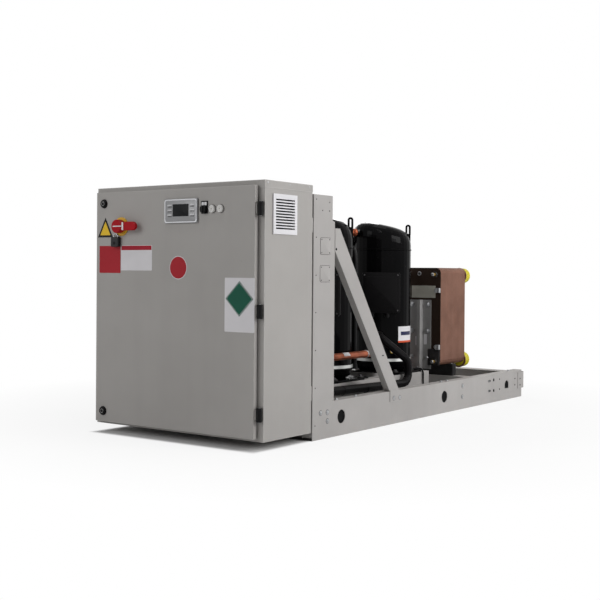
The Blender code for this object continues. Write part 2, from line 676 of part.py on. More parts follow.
def build_frame():
    """Posts, rails, braces, beams and ties."""
    paint = frame_paint()
    rear_of_post = POST_FROM_RIM + POST_WIDTH
    # Post: a channel with its web on the side and a narrow strip behind it
    outline = [(SIDE + x, POST_FROM_RIM + y) for x, y in channel(POST_WIDTH, POST_FLANGE, FRAME_SHEET)]
    post = prism("post_right", outline, 0.0, POST_TOP, 2, paint)
    bm = bmesh.new()
    strip_foot = RAIL_REST
    face = SIDE - STRIP_INSET
    add_prism(bm, [(rear_of_post - FRAME_SHEET, strip_foot), (rear_of_post + STRIP_WIDTH, strip_foot),
                   (rear_of_post + STRIP_WIDTH, STRIP_TOP - STRIP_WIDTH * 0.3),
                   (rear_of_post - FRAME_SHEET, STRIP_TOP)], face - FRAME_SHEET, face, 0)
    strip = place("post_strip", bm, paint)
    cut(post, strip, keep=True)
    mirrored("post_left", post, [(strip, True)])

    # Side rail: a channel from the post to the rear end
    start = rear_of_post + FIT
    outline = [(SIDE + x, z) for x, z in channel(RAIL_HEIGHT, RAIL_FLANGE, FRAME_SHEET)]
    rail = prism("side_rail_right", outline, start, RAIL_END, 1, paint)
    bm = bmesh.new()
    for along in LIFT_HOLES_FROM_RIM:
        ring = [(along + LIFT_HOLE_RADIUS * math.cos(2 * math.pi * k / 24),
                 LIFT_HOLE_Z + LIFT_HOLE_RADIUS * math.sin(2 * math.pi * k / 24)) for k in range(24)]
        add_prism(bm, ring, SIDE - 0.01, SIDE + 0.01, 0)
    arch = [(ARCH_HOLE_FROM_RIM - ARCH_HOLE_WIDTH / 2, ARCH_HOLE_BOTTOM),
            (ARCH_HOLE_FROM_RIM + ARCH_HOLE_WIDTH / 2, ARCH_HOLE_BOTTOM)]
    rise = ARCH_HOLE_TOP - ARCH_HOLE_WIDTH / 2
    for k in range(13):
        turn = math.pi * k / 12
        arch.append((ARCH_HOLE_FROM_RIM + ARCH_HOLE_WIDTH / 2 * math.cos(turn),
                     rise + ARCH_HOLE_WIDTH / 2 * math.sin(turn)))
    add_prism(bm, arch, SIDE - 0.01, SIDE + 0.01, 0)
    holes = place("rail_holes", bm, paint)
    cut(rail, holes)
    mirrored("side_rail_left", rail, [(holes, False)])

    # Brace: a slanting channel with a tab on the rail's outer face
    near = rear_of_post + STRIP_WIDTH + FIT
    foot_far = near + BRACE_RUN + BRACE_TOP_WIDTH
    foot_near = foot_far - BRACE_FOOT_WIDTH
    foot = RAIL_REST
    web = [(near, BRACE_TOP_Z - BRACE_TOP_DROP), (foot_near, foot), (foot_far, foot),
           (near + BRACE_TOP_WIDTH, BRACE_TOP_Z), (near, BRACE_TOP_Z)]
    brace = prism("brace_right", web, SIDE - BRACE_FLANGE, SIDE, 0, paint)
    lower = (Vector(web[1]) - Vector(web[0])).normalized()
    upper = (Vector(web[2]) - Vector(web[3])).normalized()
    lower_in = Vector((-lower.y, lower.x)) * FRAME_SHEET
    upper_in = Vector((upper.y, -upper.x)) * FRAME_SHEET
    a = Vector(web[0]) + lower_in - lower * 0.3
    b = Vector(web[1]) + lower_in + lower * 0.1
    c = Vector(web[2]) + upper_in + upper * 0.1
    d = Vector(web[3]) + upper_in - upper * 0.3
    hollow = prism("brace_hollow", [tuple(a), tuple(b), tuple(c), tuple(d)], SIDE - BRACE_FLANGE - 0.01,
                   SIDE - FRAME_SHEET, 0, paint)
    cut(brace, hollow)
    bm = bmesh.new()
    half = FRAME_SHEET / 2
    add_prism(bm, [(SIDE + FIT, BRACE_TAB_BOTTOM), (SIDE + FRAME_SHEET, BRACE_TAB_BOTTOM),
                   (SIDE + FRAME_SHEET, foot + BRACE_TAB_RISE), (SIDE - half, foot + BRACE_TAB_RISE),
                   (SIDE - half, foot), (SIDE + FIT, foot)], foot_near, foot_far, 1)
    tab = place("brace_tab", bm, paint)
    cut(brace, tab, keep=True)
    mirrored("brace_left", brace, [(hollow, False), (tab, True)])

    # Front cross beam and top tie between the posts
    beam_front = POST_FROM_RIM + FRAME_SHEET + FIT
    outline = [(beam_front + y, z) for y, z in beam_section(RAIL_HEIGHT)]
    prism("front_cross_beam", outline, -INSIDE, INSIDE, 0, paint)
    outline = [(beam_front, POST_TOP - BEAM_WIDTH), (beam_front + FRAME_SHEET, POST_TOP - BEAM_WIDTH),
               (beam_front + FRAME_SHEET, POST_TOP - FRAME_SHEET),
               (beam_front + BEAM_WIDTH, POST_TOP - FRAME_SHEET),
               (beam_front + BEAM_WIDTH, POST_TOP), (beam_front, POST_TOP)]
    prism("top_tie", outline, -INSIDE, INSIDE, 0, paint)

    # Rear end beam with lap tabs on the rails
    end = FRAME_END
    web_front = end - FRAME_SHEET
    inner = SIDE - RAIL_FLANGE - FIT
    bm = bmesh.new()
    flange_front = RAIL_END - BEAM_FLANGE
    add_prism(bm, [(web_front, 0.0), (end, 0.0), (end, BEAM_HEIGHT), (flange_front, BEAM_HEIGHT),
                   (flange_front, BEAM_HEIGHT - FRAME_SHEET), (web_front, BEAM_HEIGHT - FRAME_SHEET)],
              -inner, inner, 0)
    beam = place("end_beam", bm, paint)
    out = SIDE + FRAME_SHEET
    low = SIDE - BEAM_LOWER_INSET
    bm = bmesh.new()
    add_prism(bm, [(-low, BEAM_FACE_RISE), (low, BEAM_FACE_RISE), (low, TAB_BOTTOM), (out, TAB_BOTTOM),
                   (out, BEAM_HEIGHT), (-out, BEAM_HEIGHT), (-out, TAB_BOTTOM), (-low, TAB_BOTTOM)],
              web_front, end, 1)
    wide = place("beam_face", bm, paint)
    cut(beam, wide, keep=True)
    bm = bmesh.new()
    for sign in (-1.0, 1.0):
        near = min(sign * (SIDE + FIT), sign * out)
        far = max(sign * (SIDE + FIT), sign * out)
        add_box(bm, (near, end - BEAM_TAB - BEAM_OUT, TAB_BOTTOM), (far, end - FRAME_SHEET / 2, TAB_TOP))
    tabs = place("beam_tabs", bm, paint)
    cut(beam, tabs, keep=True)

    # Cross members between the rails' webs, under the machinery
    for label, along in zip(("front", "middle", "rear"), CROSS_LEVELS_FROM_RIM):
        top = PACK_CROSS_TOP if label == "rear" else CROSS_TOP
        outline = [(along + y, z) for y, z in hat_section(CROSS_WIDTH, CROSS_BOTTOM, top)]
        prism("cross_member_" + label, outline, -INSIDE, INSIDE, 0, paint)
    # Rails that carry the compressors
    for label, sign in (("right", 1.0), ("left", -1.0)):
        middle = COMPRESSOR_X + sign * FOOT_SPACING / 2
        prism("compressor_rail_" + label,
              [(middle + x, z) for x, z in hat_section(COMPRESSOR_RAIL_WIDTH, DECK, COMPRESSOR_RAIL_TOP)],
              COMPRESSOR_RAIL_START, COMPRESSOR_RAIL_END, 1, paint)
    # Hangers between the posts and the cabinet's back
    for label, level in zip(("top", "bottom"), HANGER_LEVELS):
        block("cabinet_hanger_" + label,
              (HANGER_END_INSET - SIDE, CABINET_DEPTH - CAP_OVERLAP + FIT, level - HANGER_HEIGHT / 2),
              (SIDE - HANGER_END_INSET, POST_FROM_RIM - FIT, level + HANGER_HEIGHT / 2), paint)


def beam_section(height):
    """Outline of a channel standing on the floor, its web towards the cabinet."""
    return [(0.0, 0.0), (BEAM_WIDTH, 0.0), (BEAM_WIDTH, FRAME_SHEET), (FRAME_SHEET, FRAME_SHEET),
            (FRAME_SHEET, height - FRAME_SHEET), (BEAM_WIDTH, height - FRAME_SHEET), (BEAM_WIDTH, height),
            (0.0, height)]


def hat_section(width, low, high):
    """Outline of a channel that opens downward, about its own middle."""
    half = width / 2
    return [(-half, high), (half, high), (half, low), (half - FRAME_SHEET, low),
            (half - FRAME_SHEET, high - FRAME_SHEET), (FRAME_SHEET - half, high - FRAME_SHEET),
            (FRAME_SHEET - half, low), (-half, low)]


def dome_profile(rise):
    """Radius and height up the compressor: rounded foot, straight wall, weld lip, wall and dome."""
    profile = [(0.0, 0.0), (SHELL_RADIUS * FOOT_NARROW, 0.0)]
    for k in range(1, 4):
        turn = math.pi / 2 * k / 3
        profile.append((SHELL_RADIUS * (FOOT_NARROW + (1 - FOOT_NARROW) * math.sin(turn)),
                        FOOT_ROUND * (1 - math.cos(turn))))
    seam = SEAM_LEVEL - FOOT_PLATE_TOP
    profile.append((SHELL_RADIUS, seam))
    profile.append((SHELL_RADIUS + SEAM_LIP, seam + SEAM_HEIGHT * 0.2))
    profile.append((SHELL_RADIUS + SEAM_LIP, seam + SEAM_HEIGHT * 0.8))
    profile.append((SHELL_RADIUS, seam + SEAM_HEIGHT))
    shoulder = SHOULDER_LEVEL - FOOT_PLATE_TOP
    profile.append((SHELL_RADIUS, shoulder))
    for k in range(1, 8):
        turn = math.pi / 2 * k / 8
        profile.append((SHELL_RADIUS * math.cos(turn) ** DOME_SQUARE, shoulder + rise * math.sin(turn)))
    profile.append((0.0, shoulder + rise))
    return profile


def lean_dome(obj):
    """Slopes the dome down from the discharge side to the side of the lifting loop."""
    wall_foot = SEAM_LEVEL + SEAM_HEIGHT - FOOT_PLATE_TOP
    wall = SHOULDER_LEVEL - FOOT_PLATE_TOP - wall_foot
    for vertex in obj.data.vertices:
        share = min(max((vertex.co.z - wall_foot) / wall, 0.0), 1.0)
        across = vertex.co.x * math.cos(LOOP_TURN) + vertex.co.y * math.sin(LOOP_TURN)
        vertex.co.z -= DOME_SLOPE * across * share


def port_end(along, turn):
    """Plan position of a port's outer face on a compressor."""
    reach = SHELL_RADIUS + PORT_OUT
    return COMPRESSOR_X + reach * math.cos(turn), along + reach * math.sin(turn)


def ahead_of_port(along, turn, distance):
    """Plan position in front of a port's outer face."""
    x, y = port_end(along, turn)
    return x + distance * math.cos(turn), y + distance * math.sin(turn)


def add_port(bm, turn, level, radius):
    """Adds one short round stub from inside the shell to the port's outer face."""
    ring = [(radius * math.cos(2 * math.pi * k / 16), level + radius * math.sin(2 * math.pi * k / 16))
            for k in range(16)]
    first = len(bm.verts)
    add_prism(bm, ring, SHELL_RADIUS * 0.5, SHELL_RADIUS + PORT_OUT, 0)
    bm.verts.ensure_lookup_table()
    bmesh.ops.rotate(bm, verts=bm.verts[first:], cent=(0, 0, 0), matrix=Matrix.Rotation(turn, 3, "Z"))


def build_compressors():
    """Two scroll compressors with feet, ports, a lifting loop and a terminal box."""
    base = FOOT_PLATE_TOP
    kinds = zip(("front", "rear"), COMPRESSORS_FROM_RIM, SUCTION_PORT_TURNS, DOME_RISES, LOOP_TOPS)
    for label, along, suction_turn, rise, loop_top in kinds:
        at = (COMPRESSOR_X, along, base)
        shell = lathe("compressor_" + label, dome_profile(rise), black_paint(), at, segments=SHELL_FACES)
        lean_dome(shell)
        half = FOOT_SPACING / 2 + FOOT_PLATE_MARGIN
        long = half - FOOT_PLATE_SHORTER
        bm = bmesh.new()
        add_box(bm, (-half, -long, -FOOT_PLATE_THICK), (half, long, 0.001))
        plate = place("foot_plate_" + label, bm, black_paint(), at)
        soften(plate, 0.002)
        cut(shell, plate, keep=True)
        bm = bmesh.new()
        for x in (-FOOT_SPACING / 2, FOOT_SPACING / 2):
            for y in (FOOT_PAD_RADIUS * 2 - long, long - FOOT_PAD_RADIUS * 2):
                ring = [(x + FOOT_PAD_RADIUS * math.cos(2 * math.pi * k / 16),
                         y + FOOT_PAD_RADIUS * math.sin(2 * math.pi * k / 16)) for k in range(16)]
                add_prism(bm, ring, -FOOT_PLATE_THICK - FOOT_PAD_HEIGHT, -FOOT_PLATE_THICK / 2, 2)
        pads = place("foot_pads_" + label, bm, black_paint(), at)
        cut(shell, pads, keep=True)
        bm = bmesh.new()
        add_port(bm, suction_turn, SUCTION_PORT_LEVEL - base, SUCTION_RADIUS * 1.15)
        add_port(bm, DISCHARGE_TURN, DISCHARGE_LEVEL - base, DISCHARGE_RADIUS * 1.15)
        add_port(bm, EQUAL_PORT_TURN, EQUAL_LEVEL - base, EQUAL_RADIUS * 1.15)
        cut(shell, place("ports_" + label, bm, black_paint(), at), keep=True)
        swing = Matrix.Rotation(LOOP_TURN, 3, "Z")
        bm = bmesh.new()
        outer = LOOP_WIDTH / 2
        crown = loop_top - base - outer
        loop_foot = loop_top - base - LOOP_HEIGHT
        outline = [(LOOP_MIDDLE - outer, loop_foot), (LOOP_MIDDLE + outer, loop_foot)]
        for k in range(9):
            turn = math.pi * k / 8
            outline.append((LOOP_MIDDLE + outer * math.cos(turn), crown + outer * math.sin(turn)))
        add_prism(bm, outline, -LOOP_THICK / 2, LOOP_THICK / 2, 1)
        bmesh.ops.rotate(bm, verts=bm.verts, cent=(0, 0, 0), matrix=swing)
        cut(shell, place("loop_" + label, bm, black_paint(), at), keep=True)
        bm = bmesh.new()
        inner = LOOP_SLOT_WIDTH / 2
        slot = []
        for k in range(7):
            turn = math.pi * k / 6
            slot.append((LOOP_MIDDLE + inner * math.cos(turn), crown + inner * math.sin(turn)))
        for k in range(7):
            turn = math.pi + math.pi * k / 6
            slot.append((LOOP_MIDDLE + inner * math.cos(turn),
                         loop_top - base - LOOP_SLOT_DEPTH + inner * math.sin(turn)))
        add_prism(bm, slot, -0.02, 0.02, 1)
        bmesh.ops.rotate(bm, verts=bm.verts, cent=(0, 0, 0), matrix=swing)
        cut(shell, place("loop_slot_" + label, bm, black_paint(), at))
        build_terminal_box(label, along)


def build_terminal_box(label, along):
    """A box on the shell's side, its back hollowed to the shell's round."""
    at = (COMPRESSOR_X, along, BOX_BOTTOM)
    bm = bmesh.new()
    add_box(bm, (SHELL_RADIUS * 0.45, -BOX_SIZE[0] / 2, 0.0),
            (SHELL_RADIUS + BOX_OUT, BOX_SIZE[0] / 2, BOX_SIZE[1]))
    bmesh.ops.bevel(bm, geom=[e for e in bm.edges], offset=BOX_ROUND, segments=2, affect="EDGES")
    box = place("terminal_box_" + label, bm, black_plastic(), at)
    box.rotation_euler = (0.0, 0.0, BOX_TURN)
    bore_faces = 2 * SHELL_FACES
    bore_radius = (SHELL_RADIUS + FIT) / math.cos(math.pi / bore_faces)
    bore = lathe("box_bore_" + label, disc(bore_radius, -BOX_SIZE[1], 2 * BOX_SIZE[1]), black_plastic(), at,
                 segments=bore_faces)
    cut(box, bore)


def pack_outline(inset):
    """The rounded rectangle of one plate, in X and Z about its middle."""
    points = []
    half_x = PLATE_PACK_WIDTH / 2 - inset
    half_z = PLATE_PACK_HEIGHT / 2 - inset
    radius = PACK_CORNER - inset
    for sx, sz, start in ((1, 1, 0.0), (-1, 1, 90.0), (-1, -1, 180.0), (1, -1, 270.0)):
        for k in range(4):
            turn = math.radians(start + 90.0 * k / 3)
            points.append((sx * (half_x - radius) + radius * math.cos(turn),
                           sz * (half_z - radius) + radius * math.sin(turn)))
    return points


def build_exchangers():
    """Two brazed plate packs with plate edges, steel bracket, foot and capped water connections."""
    copper = material("copper_pack", (0.55, 0.30, 0.22), 0.75, 0.42)
    pitch = (PLATE_PACK_DEPTH - 2 * COVER_THICK) / PLATE_COUNT
    for label, sign in (("right", 1.0), ("left", -1.0)):
        x = sign * PACK_X
        z = PLATE_PACK_BOTTOM + PLATE_PACK_HEIGHT / 2
        bm = bmesh.new()
        layers = [(0.0, 0.0), (COVER_THICK, 0.0)]
        for k in range(PLATE_COUNT):
            layers.append((COVER_THICK + pitch * (k + 0.30), PLATE_EDGE_INSET))
            layers.append((COVER_THICK + pitch * (k + 0.70), 0.0))
        layers[-1] = (PLATE_PACK_DEPTH - COVER_THICK, 0.0)
        layers.append((PLATE_PACK_DEPTH, 0.0))
        rings = []
        for depth, inset in layers:
            rings.append([bm.verts.new((px, depth, pz)) for px, pz in pack_outline(inset)])
        bm.faces.new(rings[0])
        bm.faces.new(list(reversed(rings[-1])))
        count = len(rings[0])
        for one, two in zip(rings, rings[1:]):
            for k in range(count):
                j = (k + 1) % count
                bm.faces.new((one[k], two[k], two[j], one[j]))
        place("heat_exchanger_" + label, bm, copper, (x, PLATE_PACK_FROM_RIM, z))
        front = PLATE_PACK_FROM_RIM - FIT
        steel = material("bracket_steel", (0.36, 0.37, 0.38), 0.7, 0.45)
        sheet = BRACKET_SHEET
        ridge_low, ridge_high = BRACKET_RIDGE
        prism("exchanger_bracket_" + label,
              [(-BRACKET_HALF, -sheet), (-BRACKET_HALF, 0.0), (BRACKET_HALF, 0.0), (BRACKET_HALF, -sheet),
               (ridge_high, -sheet), (ridge_high, -BRACKET_RIDGE_OUT), (ridge_low, -BRACKET_RIDGE_OUT),
               (ridge_low, -sheet)], BRACKET_BOTTOM, BRACKET_TOP, 2, steel, (x, front, 0.0))
        foot_middle = CROSS_LEVELS_FROM_RIM[2]
        block("exchanger_foot_" + label,
              (x - PLATE_PACK_WIDTH / 2, foot_middle - PACK_FOOT_DEPTH / 2, PACK_CROSS_TOP + FIT),
              (x + PLATE_PACK_WIDTH / 2, foot_middle + PACK_FOOT_DEPTH / 2, PLATE_PACK_BOTTOM - FIT),
              material("foot_rubber", (0.03, 0.03, 0.03), 0.0, 0.7), 0.003)
        rear = PLATE_PACK_FROM_RIM + PLATE_PACK_DEPTH + FIT
        for height, level in zip(("top", "bottom"), PORT_LEVELS):
            lathe("water_cap_" + label + "_" + height, disc(CAP_RADIUS, 0.0, CAP_OUT, 0.006),
                  material("cap_plastic", (0.80, 0.72, 0.05), 0.0, 0.4), (x + PORT_X, rear, level),
                  axis=1, segments=24)


def build_pipes():
    """Suction, discharge, liquid and equalising lines."""
    rubber = material("insulation", (0.015, 0.015, 0.016), 0.0, 0.65)
    copper = material("copper_pipe", (0.62, 0.28, 0.16), 0.85, 0.32)
    front_y, rear_y = COMPRESSORS_FROM_RIM
    pack_front = PLATE_PACK_FROM_RIM - FIT
    port_high, port_low = PORT_LEVELS
    run = SUCTION_RUN_LEVEL
    # Suction: loop beside the rear compressor, low run, header, riser and a branch to the front one
    turn = SUCTION_PORT_TURNS[1]
    start = (*ahead_of_port(rear_y, turn, FIT), SUCTION_PORT_LEVEL)
    stub = (*ahead_of_port(rear_y, turn, PORT_STUB), SUCTION_PORT_LEVEL)
    rod("suction_line",
        [start, stub, (SUCTION_LANE, SUCTION_LOOP_REACH, SUCTION_LOOP_TOP),
         (SUCTION_LANE, SUCTION_LOOP_REACH + SUCTION_LOOP_LEAN, SUCTION_LOOP_BOTTOM),
         (SUCTION_LANE, SUCTION_CROSSING, run),
         (HEADER_X + SUCTION_RADIUS + FIT, SUCTION_CROSSING, run)], SUCTION_RADIUS, SUCTION_BEND, rubber)
    riser_x = PACK_X - PORT_X
    rod("suction_header",
        [(HEADER_X, SUCTION_CROSSING - SUCTION_RADIUS - HEADER_STUB, run), (HEADER_X, RISER_FROM_RIM, run),
         (HEADER_X, RISER_FROM_RIM, RISER_LEVEL), (riser_x, RISER_FROM_RIM, RISER_LEVEL),
         (riser_x, RISER_FROM_RIM, port_high), (riser_x, pack_front, port_high)],
        SUCTION_RADIUS, BRANCH_BEND, rubber)
    rod("suction_branch",
        [(COMPRESSOR_X, SUCTION_CROSSING, run + SUCTION_RADIUS + FIT),
         (COMPRESSOR_X, SUCTION_CROSSING, SUCTION_PORT_LEVEL),
         (*ahead_of_port(front_y, SUCTION_PORT_TURNS[0], FIT), SUCTION_PORT_LEVEL)],
        BRANCH_RADIUS, BRANCH_BEND, rubber)
    # Discharge: from the front compressor past the rear one to the exchanger on the far side
    far_x = -PACK_X - PORT_X
    level = DISCHARGE_LEVEL
    turn = DISCHARGE_TURN
    rod("discharge_line",
        [(*ahead_of_port(front_y, turn, FIT), level), (*ahead_of_port(front_y, turn, PORT_STUB), level),
         (DISCHARGE_LANE, DISCHARGE_REACH, level), (DISCHARGE_LANE, RISER_FROM_RIM, level),
         (DISCHARGE_LANE, RISER_FROM_RIM, port_high),
         (far_x, RISER_FROM_RIM, port_high), (far_x, pack_front, port_high)],
        DISCHARGE_RADIUS, PIPE_BEND, copper)
    bend = ahead_of_port(rear_y, turn, PORT_STUB)
    rod("discharge_branch",
        [(*ahead_of_port(rear_y, turn, FIT), level), (*bend, level),
         (DISCHARGE_LANE + DISCHARGE_RADIUS + FIT, bend[1], level)],
        DISCHARGE_BRANCH_RADIUS, PIPE_BEND, copper)
    # Oil equalising line in front of the compressors, both ends turned in to their ports
    rear_port = ahead_of_port(rear_y, EQUAL_PORT_TURN, FIT)
    rear_stub = ahead_of_port(rear_y, EQUAL_PORT_TURN, PORT_STUB)
    front_port = ahead_of_port(front_y, EQUAL_PORT_TURN, FIT)
    front_stub = ahead_of_port(front_y, EQUAL_PORT_TURN, PORT_STUB)
    lead_in = EQUAL_LANE - rear_stub[0]
    rod("equalising_line",
        [(*rear_port, EQUAL_LEVEL), (*rear_stub, EQUAL_LEVEL),
         (EQUAL_LANE, rear_stub[1] - lead_in, EQUAL_LEVEL), (EQUAL_LANE, front_stub[1], EQUAL_LEVEL),
         (*front_stub, EQUAL_LEVEL), (*front_port, EQUAL_LEVEL)],
        EQUAL_RADIUS, EQUAL_BEND, copper)
    # Liquid line with its filter drier
    half = DRIER_LENGTH / 2
    neck = half - DRIER_NECK_LENGTH
    barrel = neck - DRIER_CONE
    lathe("filter_drier", [(0.0, -half), (DRIER_NECK, -half), (DRIER_NECK, -neck), (DRIER_RADIUS, -barrel),
                           (DRIER_RADIUS, barrel), (DRIER_NECK, neck), (DRIER_NECK, half), (0.0, half)],
          material("drier_paint", (0.10, 0.16, 0.14), 0.0, 0.4), (far_x, DRIER_FROM_RIM, port_low),
          axis=1, segments=24)
    rod("liquid_line_low",
        [(far_x, pack_front, port_low), (far_x, DRIER_FROM_RIM + half + FIT, port_low)],
        LIQUID_RADIUS, PIPE_BEND, copper)
    rod("liquid_line_high",
        [(far_x, DRIER_FROM_RIM - half - FIT, port_low), (far_x, LIQUID_TURN_FROM_RIM, port_low),
         (far_x, LIQUID_TURN_FROM_RIM, LIQUID_BRIDGE_LEVEL),
         (far_x, LIQUID_RISER_FROM_RIM, LIQUID_BRIDGE_LEVEL),
         (riser_x, LIQUID_RISER_FROM_RIM, LIQUID_BRIDGE_LEVEL), (riser_x, LIQUID_RISER_FROM_RIM, port_low),
         (riser_x, pack_front, port_low)],
        LIQUID_RADIUS, LIQUID_BEND, copper)


def main():
    """Builds every sub-part in order."""
    clear_scene()
    build_cabinet()
    build_door()
    build_fittings()
    build_vents()
    build_frame()
    build_compressors()
    build_exchangers()
    build_pipes()


main()
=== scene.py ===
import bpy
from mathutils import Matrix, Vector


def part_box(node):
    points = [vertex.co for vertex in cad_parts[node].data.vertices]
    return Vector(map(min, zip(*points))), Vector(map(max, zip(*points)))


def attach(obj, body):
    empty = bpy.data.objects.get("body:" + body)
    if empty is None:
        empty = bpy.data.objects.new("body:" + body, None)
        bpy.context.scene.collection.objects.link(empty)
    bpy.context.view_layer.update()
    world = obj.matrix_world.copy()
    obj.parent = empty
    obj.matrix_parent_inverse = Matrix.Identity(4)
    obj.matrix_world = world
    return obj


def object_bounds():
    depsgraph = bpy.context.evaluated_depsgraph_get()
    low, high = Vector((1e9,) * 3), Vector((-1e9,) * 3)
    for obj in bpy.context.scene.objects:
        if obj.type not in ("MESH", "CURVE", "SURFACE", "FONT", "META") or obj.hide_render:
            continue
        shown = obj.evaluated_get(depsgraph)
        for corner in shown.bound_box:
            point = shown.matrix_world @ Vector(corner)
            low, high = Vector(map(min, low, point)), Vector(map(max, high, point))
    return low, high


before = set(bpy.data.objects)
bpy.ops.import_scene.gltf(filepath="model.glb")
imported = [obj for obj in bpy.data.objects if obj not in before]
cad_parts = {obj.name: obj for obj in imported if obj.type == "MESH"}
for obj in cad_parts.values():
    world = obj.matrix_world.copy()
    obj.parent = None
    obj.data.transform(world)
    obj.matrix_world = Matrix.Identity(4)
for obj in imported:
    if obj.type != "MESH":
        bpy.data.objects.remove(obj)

"""Looks of the water-to-water chiller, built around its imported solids. Metres, +Z up, the door faces -Y."""
import logging
import math
from dataclasses import dataclass, field
from enum import Enum

import bpy
import numpy as np
from mathutils import Matrix, Vector

Array = np.ndarray
Colour = tuple[int, int, int]
Point = tuple[float, float, float]

LOG = logging.getLogger("chiller")
CAD_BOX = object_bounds()
RIM = float(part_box("cabinet_roof")[0][1])
SIDE = float(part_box("cabinet_roof")[1][0])
HAIR = 0.0003
SEAT = HAIR * 0.5
INLAY = HAIR * 0.4
MARK = (HAIR * 0.2, 0.0004)
FRONTWARD = math.radians(-90.0)
REARWARD = math.radians(90.0)


def rim(distance: float) -> float:
    """World Y of a plan distance measured from the cabinet's front rim."""
    return RIM + distance


def outward(turn: float) -> Array:
    """Axes of a face that looks out in plan.

    Args:
        turn: angle of the face's outward direction from +X, in radians.

    Returns:
        Three rows: across the face, up the face, and out of it.
    """
    return np.array([[-math.sin(turn), math.cos(turn), 0.0], [0.0, 0.0, 1.0],
                     [math.cos(turn), math.sin(turn), 0.0]])


FRONT = outward(FRONTWARD)
REAR = outward(REARWARD)
RIGHT = outward(0.0)
LEFT = outward(math.pi)
UP = np.eye(3)
DOWN = np.array([[1.0, 0.0, 0.0], [0.0, -1.0, 0.0], [0.0, 0.0, -1.0]])


# Shapes worked out with numpy

def circle(radius: float, count: int) -> Array:
    """Points at even angles on a circle, counterclockwise."""
    turn = np.linspace(0.0, 2.0 * math.pi, count, endpoint=False)
    return radius * np.stack([np.cos(turn), np.sin(turn)], axis=1)


def spans(box: tuple) -> tuple[list[float], list[float], list[float], list[float]]:
    """Gives the low corner, the high corner, the middle and the size of a box as plain numbers."""
    low, high = (np.array(corner, dtype=float) for corner in box)
    return low.tolist(), high.tolist(), ((low + high) / 2).tolist(), (high - low).tolist()


def rounded(width: float, height: float, radius: float, steps: int = 4) -> Array:
    """Outline of a rectangle whose corners are quarter circles.

    Each corner is its own centre plus the radius turned through a quarter, so all four are one array sum.

    Args:
        width: full width.
        height: full height.
        radius: corner radius, cut down where the rectangle is too small for it.
        steps: straight pieces in each corner.

    Returns:
        The points, counterclockwise.
    """
    radius = min(max(radius, 1e-5), width / 2 - 1e-6, height / 2 - 1e-6)
    turn = np.radians(np.linspace(0.0, 90.0, steps + 1))[None, :] + np.radians([0.0, 90.0, 180.0, 270.0])[:, None]
    middle = np.array([[1, 1], [-1, 1], [-1, -1], [1, -1]]) * [width / 2 - radius, height / 2 - radius]
    points = middle[:, None, :] + radius * np.stack([np.cos(turn), np.sin(turn)], axis=2)
    return points.reshape(-1, 2)


def flowing(points: list[Point], steps: int = 8) -> Array:
    """A smooth path through points: on each stretch the cubic whose end slopes are half the neighbours' span.

    Args:
        points: what the path goes through, in order.
        steps: straight pieces on each stretch.

    Returns:
        The path's points, the last one included.
    """
    base = np.array(points, dtype=float)
    ends = np.vstack([2 * base[0] - base[1], base, 2 * base[-1] - base[-2]])
    p0, p1, p2, p3 = (ends[k:len(ends) - 3 + k, None, :] for k in range(4))
    t = np.linspace(0.0, 1.0, steps, endpoint=False)[None, :, None]
    curve = 0.5 * (2 * p1 + (p2 - p0) * t + (2 * p0 - 5 * p1 + 4 * p2 - p3) * t ** 2
                   + (3 * p1 - p0 - 3 * p2 + p3) * t ** 3)
    return np.vstack([curve.reshape(-1, 3), base[-1:]])


